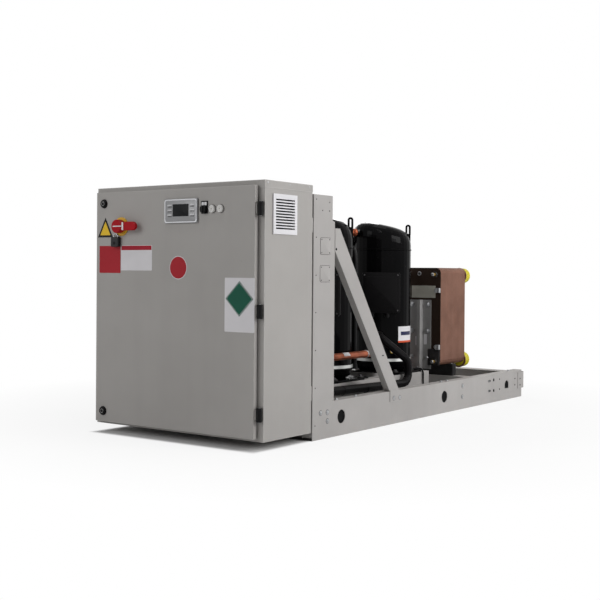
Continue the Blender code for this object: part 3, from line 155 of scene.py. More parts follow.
class Shape:
    """A mesh gathered from shells, each a stack of rings of equal length."""

    def __init__(self) -> None:
        """Starts empty."""
        self.parts: list[Array] = []
        self.faces: list[list[int]] = []
        self.count = 0

    def shell(self, rings: Array, capped: bool = True, closed: bool = True) -> "Shape":
        """Adds a grid of points as quads.

        Args:
            rings: array of stacks by steps by three; steps run counterclockwise seen from the last ring.
            capped: closes the first and last ring with one face each.
            closed: joins the last step of each ring to its first.

        Returns:
            The shape itself.
        """
        stacks, steps, _ = rings.shape
        index = np.arange(stacks * steps).reshape(stacks, steps) + self.count
        after = np.roll(index, -1, axis=1)
        last = steps if closed else steps - 1
        quads = np.stack([index[:-1, :last], after[:-1, :last], after[1:, :last], index[1:, :last]], axis=-1)
        self.faces.extend(quads.reshape(-1, 4).tolist())
        if capped:
            self.faces.append(index[0, ::-1].tolist())
            self.faces.append(index[-1].tolist())
        self.parts.append(rings.reshape(-1, 3))
        self.count += stacks * steps
        return self

    def stack(self, at: Point, axes: Array, outlines: list[Array], levels: list[float]) -> "Shape":
        """Adds flat outlines at levels along the outward axis: point = place + outline times axes + level out."""
        flat = np.array(outlines) @ axes[:2]
        out = np.array(levels)[:, None, None] * axes[2]
        return self.shell(np.array(at) + flat + out)

    def panel(self, at: Point, axes: Array, size: tuple[float, float], corner: float, low: float, high: float,
              edge: float = 0.0) -> "Shape":
        """Adds a rounded plate.

        Args:
            at: middle of the surface that it lies on.
            axes: its own right, up and outward directions.
            size: width and height.
            corner: corner radius.
            low: distance of its back from the surface.
            high: distance of its face from the surface.
            edge: chamfer round its face.

        Returns:
            The shape itself.
        """
        base = rounded(size[0], size[1], corner)
        if edge <= 0.0:
            return self.stack(at, axes, [base, base], [low, high])
        mid = rounded(size[0] - 0.6 * edge, size[1] - 0.6 * edge, corner - 0.3 * edge)
        top = rounded(size[0] - 2 * edge, size[1] - 2 * edge, corner - edge)
        return self.stack(at, axes, [base, base, mid, top], [low, high - edge, high - 0.3 * edge, high])

    def disc(self, at: Point, axes: Array, radius: float, low: float, high: float, edge: float = 0.0,
             count: int = 20) -> "Shape":
        """Adds a round plate from level low to level high, its outer rim chamfered by edge."""
        return self.turned(at, axes, [(radius, low), (radius, high - edge), (radius - edge, high)], count)

    def turned(self, at: Point, axes: Array, profile: list[tuple[float, float]], count: int = 20) -> "Shape":
        """Adds a solid of revolution: each profile pair is a circle's radius and its level out of the face."""
        outlines = [circle(max(radius, 1e-5), count) for radius, _ in profile]
        return self.stack(at, axes, outlines, [level for _, level in profile])

    def ring(self, at: Point, axes: Array, radius: float, thick: float, count: int = 24, sides: int = 8) -> "Shape":
        """Adds a torus: a circle of the thickness carried round a circle of the radius.

        Args:
            at: middle.
            axes: its own frame, the third row along the torus's axis.
            radius: from the middle to the middle of the rim.
            thick: radius of the rim's section.
            count: steps round the axis.
            sides: steps round the section.

        Returns:
            The shape itself.
        """
        turn = np.linspace(0.0, 2 * math.pi, count + 1)
        spin = np.linspace(0.0, 2 * math.pi, sides, endpoint=False)
        reach = radius + thick * np.cos(spin)[None, :]
        points = np.stack([reach * np.cos(turn)[:, None], reach * np.sin(turn)[:, None],
                           np.broadcast_to(-thick * np.sin(spin), (count + 1, sides))], axis=2)
        return self.shell(np.array(at) + points @ axes, capped=False)

    def tube(self, path: Array, radius: float, sides: int = 10, flat: float = 1.0) -> "Shape":
        """Adds a round bar along a path: at each point a circle across the path's direction.

        Args:
            path: points by three.
            radius: half of the width.
            sides: points round.
            flat: height over width, for straps.

        Returns:
            The shape itself.
        """
        ahead = np.gradient(path, axis=0)
        ahead /= np.linalg.norm(ahead, axis=1, keepdims=True)
        up = np.where(np.abs(ahead[:, 2:3]) > 0.95, [[0.0, 1.0, 0.0]], [[0.0, 0.0, 1.0]])
        if np.any(np.abs(ahead[:, 2]) > 0.95):
            up = np.broadcast_to(np.array([[0.31, 0.95, 0.0]]), path.shape)
        across = np.cross(up, ahead)
        across /= np.linalg.norm(across, axis=1, keepdims=True)
        over = np.cross(ahead, across)
        round_ = circle(radius, sides)
        rings = (path[:, None, :] + round_[None, :, 0:1] * across[:, None, :]
                 + flat * round_[None, :, 1:2] * over[:, None, :])
        return self.shell(rings)

    def bolt(self, at: Point, axes: Array, size: float, low: float = 1.0) -> "Shape":
        """Adds a washer, a chamfered hexagon head and the end of the shank.

        Args:
            at: middle on the face that carries it.
            axes: axes of that face.
            size: width of the head across its corners.
            low: height over the usual one, for flat heads.

        Returns:
            The shape itself.
        """
        half, rise = size / 2, size * low
        base = HAIR + rise * 0.10
        self.disc(at, axes, size * 0.72, HAIR, base, rise * 0.03, 18)
        self.nut(at, axes, half, half * 0.86, (base, base + rise * 0.30, base + rise * 0.38))
        return self.disc(at, axes, size * 0.20, base + rise * 0.36, base + rise * 0.44, rise * 0.03, 10)

    def nut(self, at: Point, axes: Array, radius: float, top: float, levels: tuple[float, float, float]) -> "Shape":
        """Adds a hexagon that narrows to the top radius between its last two levels."""
        return self.stack(at, axes, [circle(radius, 6), circle(radius, 6), circle(top, 6)], list(levels))

    def rivet(self, at: Point, axes: Array, radius: float) -> "Shape":
        """Adds a low domed head."""
        profile = [(radius, SEAT), (radius * 0.92, radius * 0.28), (radius * 0.6, radius * 0.46),
                   (radius * 0.22, radius * 0.50)]
        return self.turned(at, axes, profile, 12)

    def build(self, name: str, finish: "Finish", body: str, slot: str, smooth: float = 32.0) -> bpy.types.Object:
        """Makes the object, dresses it and lets it ride.

        Args:
            name: name of the piece.
            finish: its surface.
            body: the moving body that it rides on.
            slot: material slot of the record that it belongs to; not used.
            smooth: edges sharper than this angle stay crisp, in degrees.

        Returns:
            The finished object.
        """
        mesh = bpy.data.meshes.new(name)
        mesh.from_pydata(np.vstack(self.parts).tolist(), [], self.faces)
        mesh.update()
        mesh.polygons.foreach_set("use_smooth", np.ones(len(mesh.polygons), dtype=bool))
        mesh.set_sharp_from_angle(angle=math.radians(smooth))
        mesh.materials.append(finish.material())
        piece = bpy.data.objects.new(name, mesh)
        bpy.context.scene.collection.objects.link(piece)
        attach(piece, body)
        LOG.info("%s: %d faces on %s", name, len(mesh.polygons), body)
        return piece


# Finishes

class Graph:
    """Short way to add and join shader nodes."""

    def __init__(self, tree: bpy.types.NodeTree) -> None:
        """Keeps the tree that nodes go into."""
        self.tree = tree

    def add(self, kind: str, inputs: dict | None = None, **settings: object) -> bpy.types.Node:
        """Adds a node.

        Args:
            kind: type of the node.
            inputs: values or sockets by the name or number of the input.
            settings: attributes of the node.

        Returns:
            The node.
        """
        node = self.tree.nodes.new(kind)
        for key, value in settings.items():
            setattr(node, key, value)
        for key, value in (inputs or {}).items():
            if isinstance(value, bpy.types.NodeSocket):
                self.tree.links.new(value, node.inputs[key])
            else:
                node.inputs[key].default_value = value
        return node

    def math(self, operation: str, *values: object, clamp: bool = False) -> bpy.types.NodeSocket:
        """Adds a Math node and gives its result."""
        node = self.add("ShaderNodeMath", dict(enumerate(values)), operation=operation, use_clamp=clamp)
        return node.outputs[0]

    def mix(self, factor: object, first: object, second: object) -> bpy.types.NodeSocket:
        """Mixes two colours and gives the result."""
        node = self.add("ShaderNodeMix", {0: factor, 6: first, 7: second}, data_type="RGBA")
        return node.outputs[2]

    def ramp(self, value: object, low: float, high: float) -> bpy.types.NodeSocket:
        """Maps a value between low and high to 0 to 1, clamped."""
        node = self.add("ShaderNodeMapRange", {0: value, 1: low, 2: high}, clamp=True)
        return node.outputs[0]

    def group(self, effect: "Effect", inputs: dict) -> bpy.types.Node:
        """Places a shared effect."""
        return self.add("ShaderNodeGroup", inputs, node_tree=effect.tree())


class Effect(Enum):
    """Shared effects, each one node group."""

    MOTTLE = "mottle"
    DUST = "dust"
    EDGES = "edges"
    RUNS = "runs"
    PEEL = "peel"
    GRAIN = "grain"
    BRUSHED = "brushed"
    SPANGLE = "spangle"
    PORES = "pores"

    def tree(self) -> bpy.types.NodeTree:
        """Gives the effect's node group, made once."""
        known = bpy.data.node_groups.get(self.value)
        if known:
            return known
        tree = bpy.data.node_groups.new(self.value, "ShaderNodeTree")
        face = tree.interface
        face.new_socket("Vector", in_out="INPUT", socket_type="NodeSocketVector")
        for name, default in EFFECT_INPUTS[self]:
            kind = "NodeSocketVector" if isinstance(default, tuple) else "NodeSocketFloat"
            socket = face.new_socket(name, in_out="INPUT", socket_type=kind)
            socket.default_value = default
        for name in EFFECT_OUTPUTS[self]:
            face.new_socket(name, in_out="OUTPUT", socket_type="NodeSocketFloat")
        graph = Graph(tree)
        source = graph.add("NodeGroupInput")
        results = getattr(EffectMaker, self.value)(graph, source)
        graph.add("NodeGroupOutput", results)
        return tree


EFFECT_INPUTS = {
    Effect.MOTTLE: (("Scale", 6.0),),
    Effect.DUST: (),
    Effect.EDGES: (("Low", (0.0, 0.0, 0.0)), ("High", (1.0, 1.0, 1.0)), ("Width", 0.004)),
    Effect.RUNS: (("Scale", 9.0),),
    Effect.PEEL: (("Scale", 500.0),),
    Effect.GRAIN: (("Scale", 900.0),),
    Effect.BRUSHED: (("Scale", 300.0),),
    Effect.SPANGLE: (("Scale", 90.0),),
    Effect.PORES: (("Scale", 500.0),),
}
EFFECT_OUTPUTS = {
    Effect.MOTTLE: ("Broad", "Fine"),
    Effect.DUST: ("Mask",),
    Effect.EDGES: ("Mask",),
    Effect.RUNS: ("Mask",),
    Effect.PEEL: ("Height",),
    Effect.GRAIN: ("Height",),
    Effect.BRUSHED: ("Height",),
    Effect.SPANGLE: ("Height",),
    Effect.PORES: ("Height",),
}


class EffectMaker:
    """Fills each effect's node group.

    Each effect takes the graph that it fills and the node that holds the group's inputs, and gives the
    values of the group's outputs by their names.
    """

    @staticmethod
    def noise(graph: Graph, vector: object, scale: object, detail: float, rough: float = 0.5) -> object:
        """Adds a noise and gives its value."""
        node = graph.add("ShaderNodeTexNoise", {"Vector": vector, "Scale": scale, "Detail": detail,
                                                "Roughness": rough})
        return node.outputs[0]

    @staticmethod
    def mottle(graph: Graph, source: bpy.types.Node) -> dict:
        """Slow clouds and fine flecks: two noises, the second 14 times finer."""
        broad = EffectMaker.noise(graph, source.outputs["Vector"], source.outputs["Scale"], 3.0, 0.55)
        fine = EffectMaker.noise(graph, source.outputs["Vector"],
                                 graph.math("MULTIPLY", source.outputs["Scale"], 14.0), 2.0, 0.6)
        return {"Broad": graph.ramp(broad, 0.34, 0.68), "Fine": graph.ramp(fine, 0.30, 0.72)}

    @staticmethod
    def dust(graph: Graph, source: bpy.types.Node) -> dict:
        """Dust on what faces up: the normal's rise times a cloudy noise."""
        normal = graph.add("ShaderNodeNewGeometry").outputs["Normal"]
        rise = graph.add("ShaderNodeSeparateXYZ", {0: normal}).outputs[2]
        cloud = EffectMaker.noise(graph, source.outputs["Vector"], 38.0, 4.0, 0.65)
        lying = graph.ramp(rise, 0.35, 0.95)
        return {"Mask": graph.math("MULTIPLY", lying, graph.ramp(cloud, 0.30, 0.70), clamp=True)}

    @staticmethod
    def edges(graph: Graph, source: bpy.types.Node) -> dict:
        """Mask along the edges of a box, for scuffed paint and a painted edge highlight: the second smallest distance
        to its faces, broken up by noise.
        """
        low = graph.add("ShaderNodeVectorMath", {0: source.outputs["Vector"], 1: source.outputs["Low"]},
                        operation="SUBTRACT").outputs[0]
        high = graph.add("ShaderNodeVectorMath", {0: source.outputs["High"], 1: source.outputs["Vector"]},
                         operation="SUBTRACT").outputs[0]
        near = graph.add("ShaderNodeVectorMath", {0: low, 1: high}, operation="MINIMUM").outputs[0]
        parts = graph.add("ShaderNodeSeparateXYZ", {0: near}).outputs
        smallest = graph.math("MINIMUM", graph.math("MINIMUM", parts[0], parts[1]), parts[2])
        largest = graph.math("MAXIMUM", graph.math("MAXIMUM", parts[0], parts[1]), parts[2])
        total = graph.math("ADD", graph.math("ADD", parts[0], parts[1]), parts[2])
        second = graph.math("SUBTRACT", graph.math("SUBTRACT", total, smallest), largest)
        chip = EffectMaker.noise(graph, source.outputs["Vector"], 70.0, 4.0, 0.7)
        reach = graph.math("MULTIPLY", source.outputs["Width"], graph.math("MULTIPLY", chip, 1.8))
        away = graph.math("DIVIDE", second, graph.math("MAXIMUM", reach, 0.0002))
        return {"Mask": graph.math("SUBTRACT", 1.0, graph.ramp(away, 0.6, 1.2), clamp=True)}

    @staticmethod
    def runs(graph: Graph, source: bpy.types.Node) -> dict:
        """Faint upright streaks: a noise drawn out fifteen times along Z."""
        drawn = graph.add("ShaderNodeMapping", {0: source.outputs["Vector"], 3: (1.0, 1.0, 0.065)}).outputs[0]
        streak = EffectMaker.noise(graph, drawn, source.outputs["Scale"], 5.0, 0.6)
        return {"Mask": graph.ramp(streak, 0.46, 0.74)}

    @staticmethod
    def peel(graph: Graph, source: bpy.types.Node) -> dict:
        """Rounded orange peel of sprayed paint."""
        return {"Height": EffectMaker.noise(graph, source.outputs["Vector"], source.outputs["Scale"], 1.0, 0.4)}

    @staticmethod
    def grain(graph: Graph, source: bpy.types.Node) -> dict:
        """Fine moulded grain: small cells with soft walls."""
        cells = graph.add("ShaderNodeTexVoronoi", {"Vector": source.outputs["Vector"],
                                                   "Scale": source.outputs["Scale"]}, feature="SMOOTH_F1")
        return {"Height": cells.outputs["Distance"]}

    @staticmethod
    def brushed(graph: Graph, source: bpy.types.Node) -> dict:
        """Lines of rolled sheet: a noise drawn out along Z."""
        drawn = graph.add("ShaderNodeMapping", {0: source.outputs["Vector"], 3: (1.0, 1.0, 0.03)}).outputs[0]
        return {"Height": EffectMaker.noise(graph, drawn, source.outputs["Scale"], 4.0, 0.6)}

    @staticmethod
    def spangle(graph: Graph, source: bpy.types.Node) -> dict:
        """Flakes of zinc: one level for each cell."""
        cells = graph.add("ShaderNodeTexVoronoi", {"Vector": source.outputs["Vector"],
                                                   "Scale": source.outputs["Scale"]})
        return {"Height": graph.add("ShaderNodeSeparateColor", {0: cells.outputs["Color"]}).outputs[0]}

    @staticmethod
    def pores(graph: Graph, source: bpy.types.Node) -> dict:
        """Pores of foam rubber: a noise pressed into pits."""
        pits = EffectMaker.noise(graph, source.outputs["Vector"], source.outputs["Scale"], 2.0, 0.7)
        return {"Height": graph.ramp(pits, 0.35, 0.60)}


def linear(colour: Colour) -> tuple[float, float, float, float]:
    """Turns screen values of 0 to 255 into the linear colour that the shader reads."""
    part = np.array(colour) / 255.0
    lin = np.where(part <= 0.04045, part / 12.92, ((part + 0.055) / 1.055) ** 2.4)
    return (float(lin[0]), float(lin[1]), float(lin[2]), 1.0)


@dataclass(frozen=True)
class Finish:
    """One surface: its colours, gloss, texture, scuffed edges with a painted edge highlight, and painted front shade.
    """

    name: str
    colour: Colour
    second: Colour
    rough: float
    texture: Effect
    texture_scale: float
    bump: float
    metal: float = 0.0
    coat: float = 0.0
    clouds: float = 6.0
    dust: float = 0.0
    dust_colour: Colour = (150, 146, 138)
    runs: float = 0.0
    wear_and_edge_highlight: Colour | None = None
    wear_and_highlight_width: float = 0.003
    wear_and_highlight_strength: float = 0.55
    specular: float = 0.5
    # Painted shade: a darker colour for faces at the front of the named node's box, standing for shade and for the
    # reflection of the dark compressors.
    front_shade_tone: Colour | None = None
    front_node: str = ""

    def material(self, node: str = "") -> bpy.types.Material:
        """Gives the material, made once for each box whose edges it lightens as scuffed paint and a painted
        highlight.

        Args:
            node: CAD node whose box gives the scuffed and highlighted edges, or nothing.

        Returns:
            The material.
        """
        name = self.name + ("_" + node if node else "")
        known = bpy.data.materials.get(name)
        if known:
            return known
        made = bpy.data.materials.new(name)
        made.use_nodes = True
        graph = Graph(made.node_tree)
        shader = made.node_tree.nodes["Principled BSDF"]
        self.wire(graph, shader, node)
        made.diffuse_color = linear(self.colour)
        return made

    def wire(self, graph: Graph, shader: bpy.types.Node, node: str) -> None:
        """Joins the effects to the shader.

        Args:
            graph: the material's nodes.
            shader: its Principled BSDF.
            node: CAD node whose box gives the scuffed and highlighted edges, or nothing.
        """
        place = graph.add("ShaderNodeTexCoord").outputs["Object"]
        mottle = graph.group(Effect.MOTTLE, {"Vector": place, "Scale": self.clouds})
        colour = graph.mix(mottle.outputs["Broad"], linear(self.colour), linear(self.second))
        rough = graph.math("ADD", self.rough - 0.05, graph.math("MULTIPLY", mottle.outputs["Fine"], 0.10))
        if self.runs:
            runs = graph.group(Effect.RUNS, {"Vector": place})
            amount = graph.math("MULTIPLY", runs.outputs["Mask"], self.runs)
            shade = tuple(int(part * 0.80) for part in self.colour)
            colour = graph.mix(amount, colour, linear(shade))
            rough = graph.math("ADD", rough, graph.math("MULTIPLY", amount, 0.15))
        # Painted shade and painted reflection: faces at the front of the named node's box take the darker colour.
        if self.front_shade_tone and self.front_node:
            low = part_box(self.front_node)[0]
            along = graph.add("ShaderNodeSeparateXYZ", {0: place}).outputs[1]
            front = graph.math("LESS_THAN", along, float(low[1]) + 0.0008)
            colour = graph.mix(front, colour, linear(self.front_shade_tone))
        # Lighter edges: partly scuffed paint, partly a painted highlight along the box's edges.
        if self.wear_and_edge_highlight and node:
            low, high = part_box(node)
            edges = graph.group(Effect.EDGES, {"Vector": place, "Low": tuple(low), "High": tuple(high),
                                               "Width": self.wear_and_highlight_width})
            worn_and_lit = graph.math("MULTIPLY", edges.outputs["Mask"], self.wear_and_highlight_strength)
            colour = graph.mix(worn_and_lit, colour, linear(self.wear_and_edge_highlight))
        if self.dust:
            dust = graph.group(Effect.DUST, {"Vector": place})
            amount = graph.math("MULTIPLY", dust.outputs["Mask"], self.dust)
            colour = graph.mix(amount, colour, linear(self.dust_colour))
            rough = graph.math("ADD", rough, graph.math("MULTIPLY", amount, 0.45))
        relief = graph.group(self.texture, {"Vector": place, "Scale": self.texture_scale})
        bump = graph.add("ShaderNodeBump", {"Strength": 1.0, "Distance": self.bump,
                                            "Height": relief.outputs["Height"]})
        shader.inputs["Metallic"].default_value = self.metal
        shader.inputs["Specular IOR Level"].default_value = self.specular
        shader.inputs["Coat Weight"].default_value = self.coat
        shader.inputs["Coat Roughness"].default_value = 0.08
        graph.tree.links.new(colour, shader.inputs["Base Color"])
        graph.tree.links.new(graph.math("ADD", rough, 0.0, clamp=True), shader.inputs["Roughness"])
        graph.tree.links.new(bump.outputs[0], shader.inputs["Normal"])

    def dress(self, *nodes: str) -> None:
        """Gives the finish to CAD nodes."""
        for node in nodes:
            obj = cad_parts[node]
            made = self.material(node if self.wear_and_edge_highlight else "")
            if not obj.material_slots:
                obj.data.materials.append(made)
            for place in obj.material_slots:
                place.material = made


def printed(name: str, colour: Colour, second: Colour) -> Finish:
    """Gives the finish of a thin printed film in two close colours."""
    return Finish(name, colour, second, 0.42, Effect.PEEL, 300.0, 0.00004, specular=0.15)


# The lighter edge colour of these two coats is partly scuffed paint and partly a painted edge highlight.
CABINET = Finish("cabinet_coat", (168, 165, 162), (162, 159, 156), 0.48, Effect.PEEL, 620.0, 0.00012, specular=0.3,
                 clouds=2.6, dust=0.25, runs=0.10, wear_and_edge_highlight=(188, 186, 183), wear_and_highlight_width=0.0030, wear_and_highlight_strength=0.45)
SKID = Finish("skid_coat", (170, 167, 165), (162, 159, 157), 0.50, Effect.PEEL, 560.0, 0.00014, specular=0.3,
              clouds=3.4, dust=0.35, runs=0.14, wear_and_edge_highlight=(188, 186, 183), wear_and_highlight_width=0.0025, wear_and_highlight_strength=0.25)
ENAMEL = Finish("black_enamel", (8, 8, 9), (12, 11, 12), 0.12, Effect.PEEL, 26.0, 0.00045, coat=0.04,
                clouds=7.0, dust=0.04, dust_colour=(70, 67, 64), specular=0.02)
BOX_PLASTIC = Finish("box_plastic", (13, 12, 13), (18, 17, 18), 0.46, Effect.GRAIN, 620.0, 0.00010, dust=0.10,
                     dust_colour=(90, 87, 83), specular=0.08)
BLACK_PLASTIC = Finish("black_moulding", (12, 12, 13), (17, 17, 18), 0.42, Effect.GRAIN, 800.0, 0.00008, dust=0.06,
                       dust_colour=(90, 87, 83), specular=0.10)
RED_PLASTIC = Finish("red_moulding", (172, 18, 30), (158, 14, 26), 0.36, Effect.GRAIN, 900.0, 0.00008, coat=0.03,
                     specular=0.1)
YELLOW_PLASTIC = Finish("yellow_moulding", (226, 180, 40), (212, 166, 34), 0.40, Effect.GRAIN, 900.0, 0.00008)
SILVER_PLASTIC = Finish("silver_bezel", (142, 142, 144), (132, 132, 134), 0.40, Effect.GRAIN, 900.0, 0.00006,
                        metal=0.15)
BRIGHT_RIM = Finish("bright_rim", (216, 217, 220), (206, 207, 210), 0.34, Effect.GRAIN, 900.0, 0.00003, metal=0.2)
KEY_PLASTIC = Finish("key_plastic", (198, 198, 200), (188, 188, 190), 0.45, Effect.GRAIN, 900.0, 0.00006)
GREY_PLASTIC = Finish("grey_moulding", (214, 212, 208), (202, 200, 196), 0.40, Effect.GRAIN, 900.0, 0.00008)
WHITE_PLASTIC = Finish("white_moulding", (232, 232, 234), (222, 222, 224), 0.42, Effect.GRAIN, 900.0, 0.00006)
SCREEN = Finish("dark_screen", (22, 23, 25), (17, 18, 20), 0.40, Effect.PEEL, 200.0, 0.00002, specular=0.08)
LOCK_STEEL = Finish("padlock_steel", (32, 32, 34), (24, 24, 26), 0.34, Effect.SPANGLE, 300.0, 0.00010, metal=0.6)
VENT_PLASTIC = Finish("vent_moulding", (226, 225, 228), (216, 215, 218), 0.44, Effect.GRAIN, 700.0, 0.00010,
                      dust=0.3)
CAP_PLASTIC = Finish("cap_moulding", (212, 200, 50), (198, 184, 42), 0.38, Effect.GRAIN, 600.0, 0.00012, coat=0.05,
                     specular=0.2)
# The packs' front faces are darkened: painted shade, with a painted reflection of the black compressors.
PACK_COPPER = Finish("pack_copper", (128, 92, 77), (110, 77, 63), 0.48, Effect.BRUSHED, 240.0, 0.00022,
                     metal=0.25, clouds=9.0, runs=0.45, dust=0.15, front_shade_tone=(48, 36, 29),
                     front_node="heat_exchanger_right", specular=0.15)
PIPE_COPPER = Finish("pipe_copper", (172, 94, 62), (118, 60, 40), 0.36, Effect.BRUSHED, 260.0, 0.00012,
                     metal=0.7, clouds=16.0, specular=0.2)
BRACKET_STEEL = Finish("bracket_zinc", (154, 153, 152), (138, 137, 137), 0.50, Effect.BRUSHED, 220.0, 0.00014,
                       metal=0.15, clouds=10.0, runs=0.2)
ZINC = Finish("zinc_fastener", (182, 183, 185), (152, 153, 155), 0.34, Effect.SPANGLE, 420.0, 0.00008, metal=0.75,
              clouds=30.0)
ZINC_SHEET = Finish("zinc_sheet", (200, 202, 203), (184, 186, 188), 0.40, Effect.SPANGLE, 90.0, 0.00006, metal=0.6)
DARK_STEEL = Finish("dark_steel", (78, 77, 78), (58, 57, 58), 0.40, Effect.SPANGLE, 300.0, 0.00008, metal=0.7)
BRASS = Finish("brass", (206, 168, 84), (176, 136, 60), 0.30, Effect.SPANGLE, 260.0, 0.00008, metal=0.85,
               clouds=24.0)
FOAM = Finish("foam_rubber", (14, 13, 14), (21, 20, 21), 0.34, Effect.PORES, 420.0, 0.00015, clouds=12.0,
              dust=0.07, dust_colour=(96, 92, 88), specular=0.05)
RUBBER = Finish("block_rubber", (40, 39, 40), (52, 50, 50), 0.68, Effect.PORES, 300.0, 0.00030, clouds=20.0,
                dust=0.3, specular=0.1)
GASKET = Finish("door_gasket", (34, 34, 35), (44, 44, 45), 0.75, Effect.PORES, 700.0, 0.00025)
DRIER = Finish("drier_enamel", (52, 66, 60), (44, 57, 52), 0.35, Effect.PEEL, 220.0, 0.00020, coat=0.3, dust=0.25)
# Painted shade: near-black for the shade inside holes and slots, and for shadow rings and outlines round bolts and
# cover plates.
HOLE_SHADE = Finish("painted_hole_shade", (12, 12, 13), (18, 18, 19), 0.85, Effect.PORES, 300.0, 0.00010, specular=0.1)
# Painted shade: frame rivets and small holes are darkened to read as holes in their own shadow.
RIVET_SHADE = Finish("rivet_painted_shade", (48, 46, 45), (36, 35, 34), 0.55, Effect.SPANGLE, 420.0, 0.00008,
                     clouds=30.0, specular=0.2)
PRINT_WHITE = printed("print_white", (221, 219, 222), (213, 211, 214))
PRINT_RED = printed("print_red", (168, 38, 48), (158, 33, 43))
PRINT_DARK_RED = printed("print_dark_red", (164, 34, 50), (150, 28, 44))
PRINT_GREEN = printed("print_green", (20, 84, 66), (14, 75, 58))
PRINT_BLACK = printed("print_black", (15, 15, 16), (20, 20, 21))
PRINT_YELLOW = printed("print_yellow", (236, 196, 60), (226, 186, 52))
PRINT_BLUE = printed("print_blue", (34, 38, 72), (28, 32, 64))
PRINT_ORANGE = printed("print_orange", (206, 84, 48), (194, 74, 42))
PRINT_GREY = Finish("print_grey", (170, 168, 158), (158, 156, 146), 0.45, Effect.PEEL, 300.0, 0.00005, metal=0.2)
DUCT = Finish("duct_plastic", (196, 197, 198), (188, 189, 190), 0.50, Effect.GRAIN, 600.0, 0.00008)
BEIGE = Finish("beige_moulding", (206, 202, 190), (196, 192, 180), 0.46, Effect.GRAIN, 800.0, 0.00008)
GREEN_PLASTIC = Finish("green_moulding", (52, 124, 74), (44, 112, 66), 0.45, Effect.GRAIN, 800.0, 0.00008)


# Sub-assemblies

@dataclass
class Cabinet:
    """The hung control cabinet: shell, roof cap, gasket, glands and screws."""

    roof_screws: tuple[float, ...] = (0.018, 0.164, 0.300)
    roof_screw_level: float = 1.0555
    gasket_width: float = 0.009
    gasket_thick: float = 0.0035
    gland_count: int = 6
    gland_radius: float = 0.014
    gland_level: float = 0.120

    def dress(self) -> None:
        """Paints the carried-over nodes."""
        CABINET.dress("cabinet_shell", "cabinet_roof")
        ZINC_SHEET.dress("mounting_plate")
        BLACK_PLASTIC.dress("hinge_top", "hinge_middle", "hinge_bottom")

    def build(self) -> None:
        """Adds screws on the roof skirt, the door gasket, hinge pins and cable glands."""
        screws = Shape()
        for axes, x in ((RIGHT, SIDE), (LEFT, -SIDE)):
            for along in self.roof_screws:
                screws.rivet((x, rim(along), self.roof_screw_level), axes, 0.0034)
        rear = float(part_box("cabinet_roof")[1][1])
        for x in (-0.38, 0.0, 0.38):
            screws.rivet((x, rear, self.roof_screw_level), REAR, 0.0034)
        screws.build("roof_screws", ZINC, "base", "zinc_sheet")
        self.build_gasket()
        self.build_hinges()
        glands = Shape()
        back = float(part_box("cabinet_shell")[1][1])
        for k in range(self.gland_count):
            x = -0.20 + 0.08 * k
            radius = self.gland_radius
            at = (x, back, self.gland_level)
            glands.nut(at, REAR, radius * 1.25, radius * 1.1, (HAIR, 0.007, 0.0085))
            glands.turned(at, REAR, [(radius, 0.0085), (radius, 0.020), (radius * 0.8, 0.026), (radius * 0.5, 0.028)])
        glands.build("cable_glands", BLACK_PLASTIC, "base", "black_plastic")

    def build_gasket(self) -> None:
        """Adds a foam strip round the mouth: four flat bars whose ends overlap."""
        low, high, _, _ = spans(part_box("cabinet_door"))
        left, right = low[0] + 0.022, high[0] - 0.034
        bottom, top = low[2] + 0.022, high[2] - 0.022
        strip = Shape()
        middle = ((left + right) / 2, (bottom + top) / 2)
        width, thick = self.gasket_width, self.gasket_thick
        face = rim(0.0012)
        for z in (bottom, top):
            strip.panel((middle[0], face, z), FRONT, (right - left + width, width), 0.002, HAIR, thick, 0.001)
        for x in (left, right):
            strip.panel((x, face, middle[1]), FRONT, (width, top - bottom - width - 0.001), 0.002, HAIR, thick, 0.001)
        strip.build("door_gasket", GASKET, "base", "foot_rubber")

    def build_hinges(self) -> None:
        """Adds the knuckle lines and pin heads of the three hinges."""
        pins = Shape()
        leaves = Shape()
        for label in ("top", "middle", "bottom"):
            low, high, mid, size = spans(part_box("hinge_" + label))
            x, y = mid[0], mid[1]
            radius = size[0] / 2
            for z, axes in ((high[2], UP), (low[2], DOWN)):
                pins.turned((x, y, z), axes, [(radius * 0.5, HAIR), (radius * 0.5, 0.001), (radius * 0.3, 0.0018)])
            for z in (low[2] + 0.018, high[2] - 0.018):
                leaves.ring((x, y, z), UP, radius + 0.0002, 0.0007, 24, 6)
        pins.build("hinge_pins", ZINC, "base", "zinc_sheet")
        leaves.build("hinge_knuckles", BOX_PLASTIC, "base", "black_plastic")


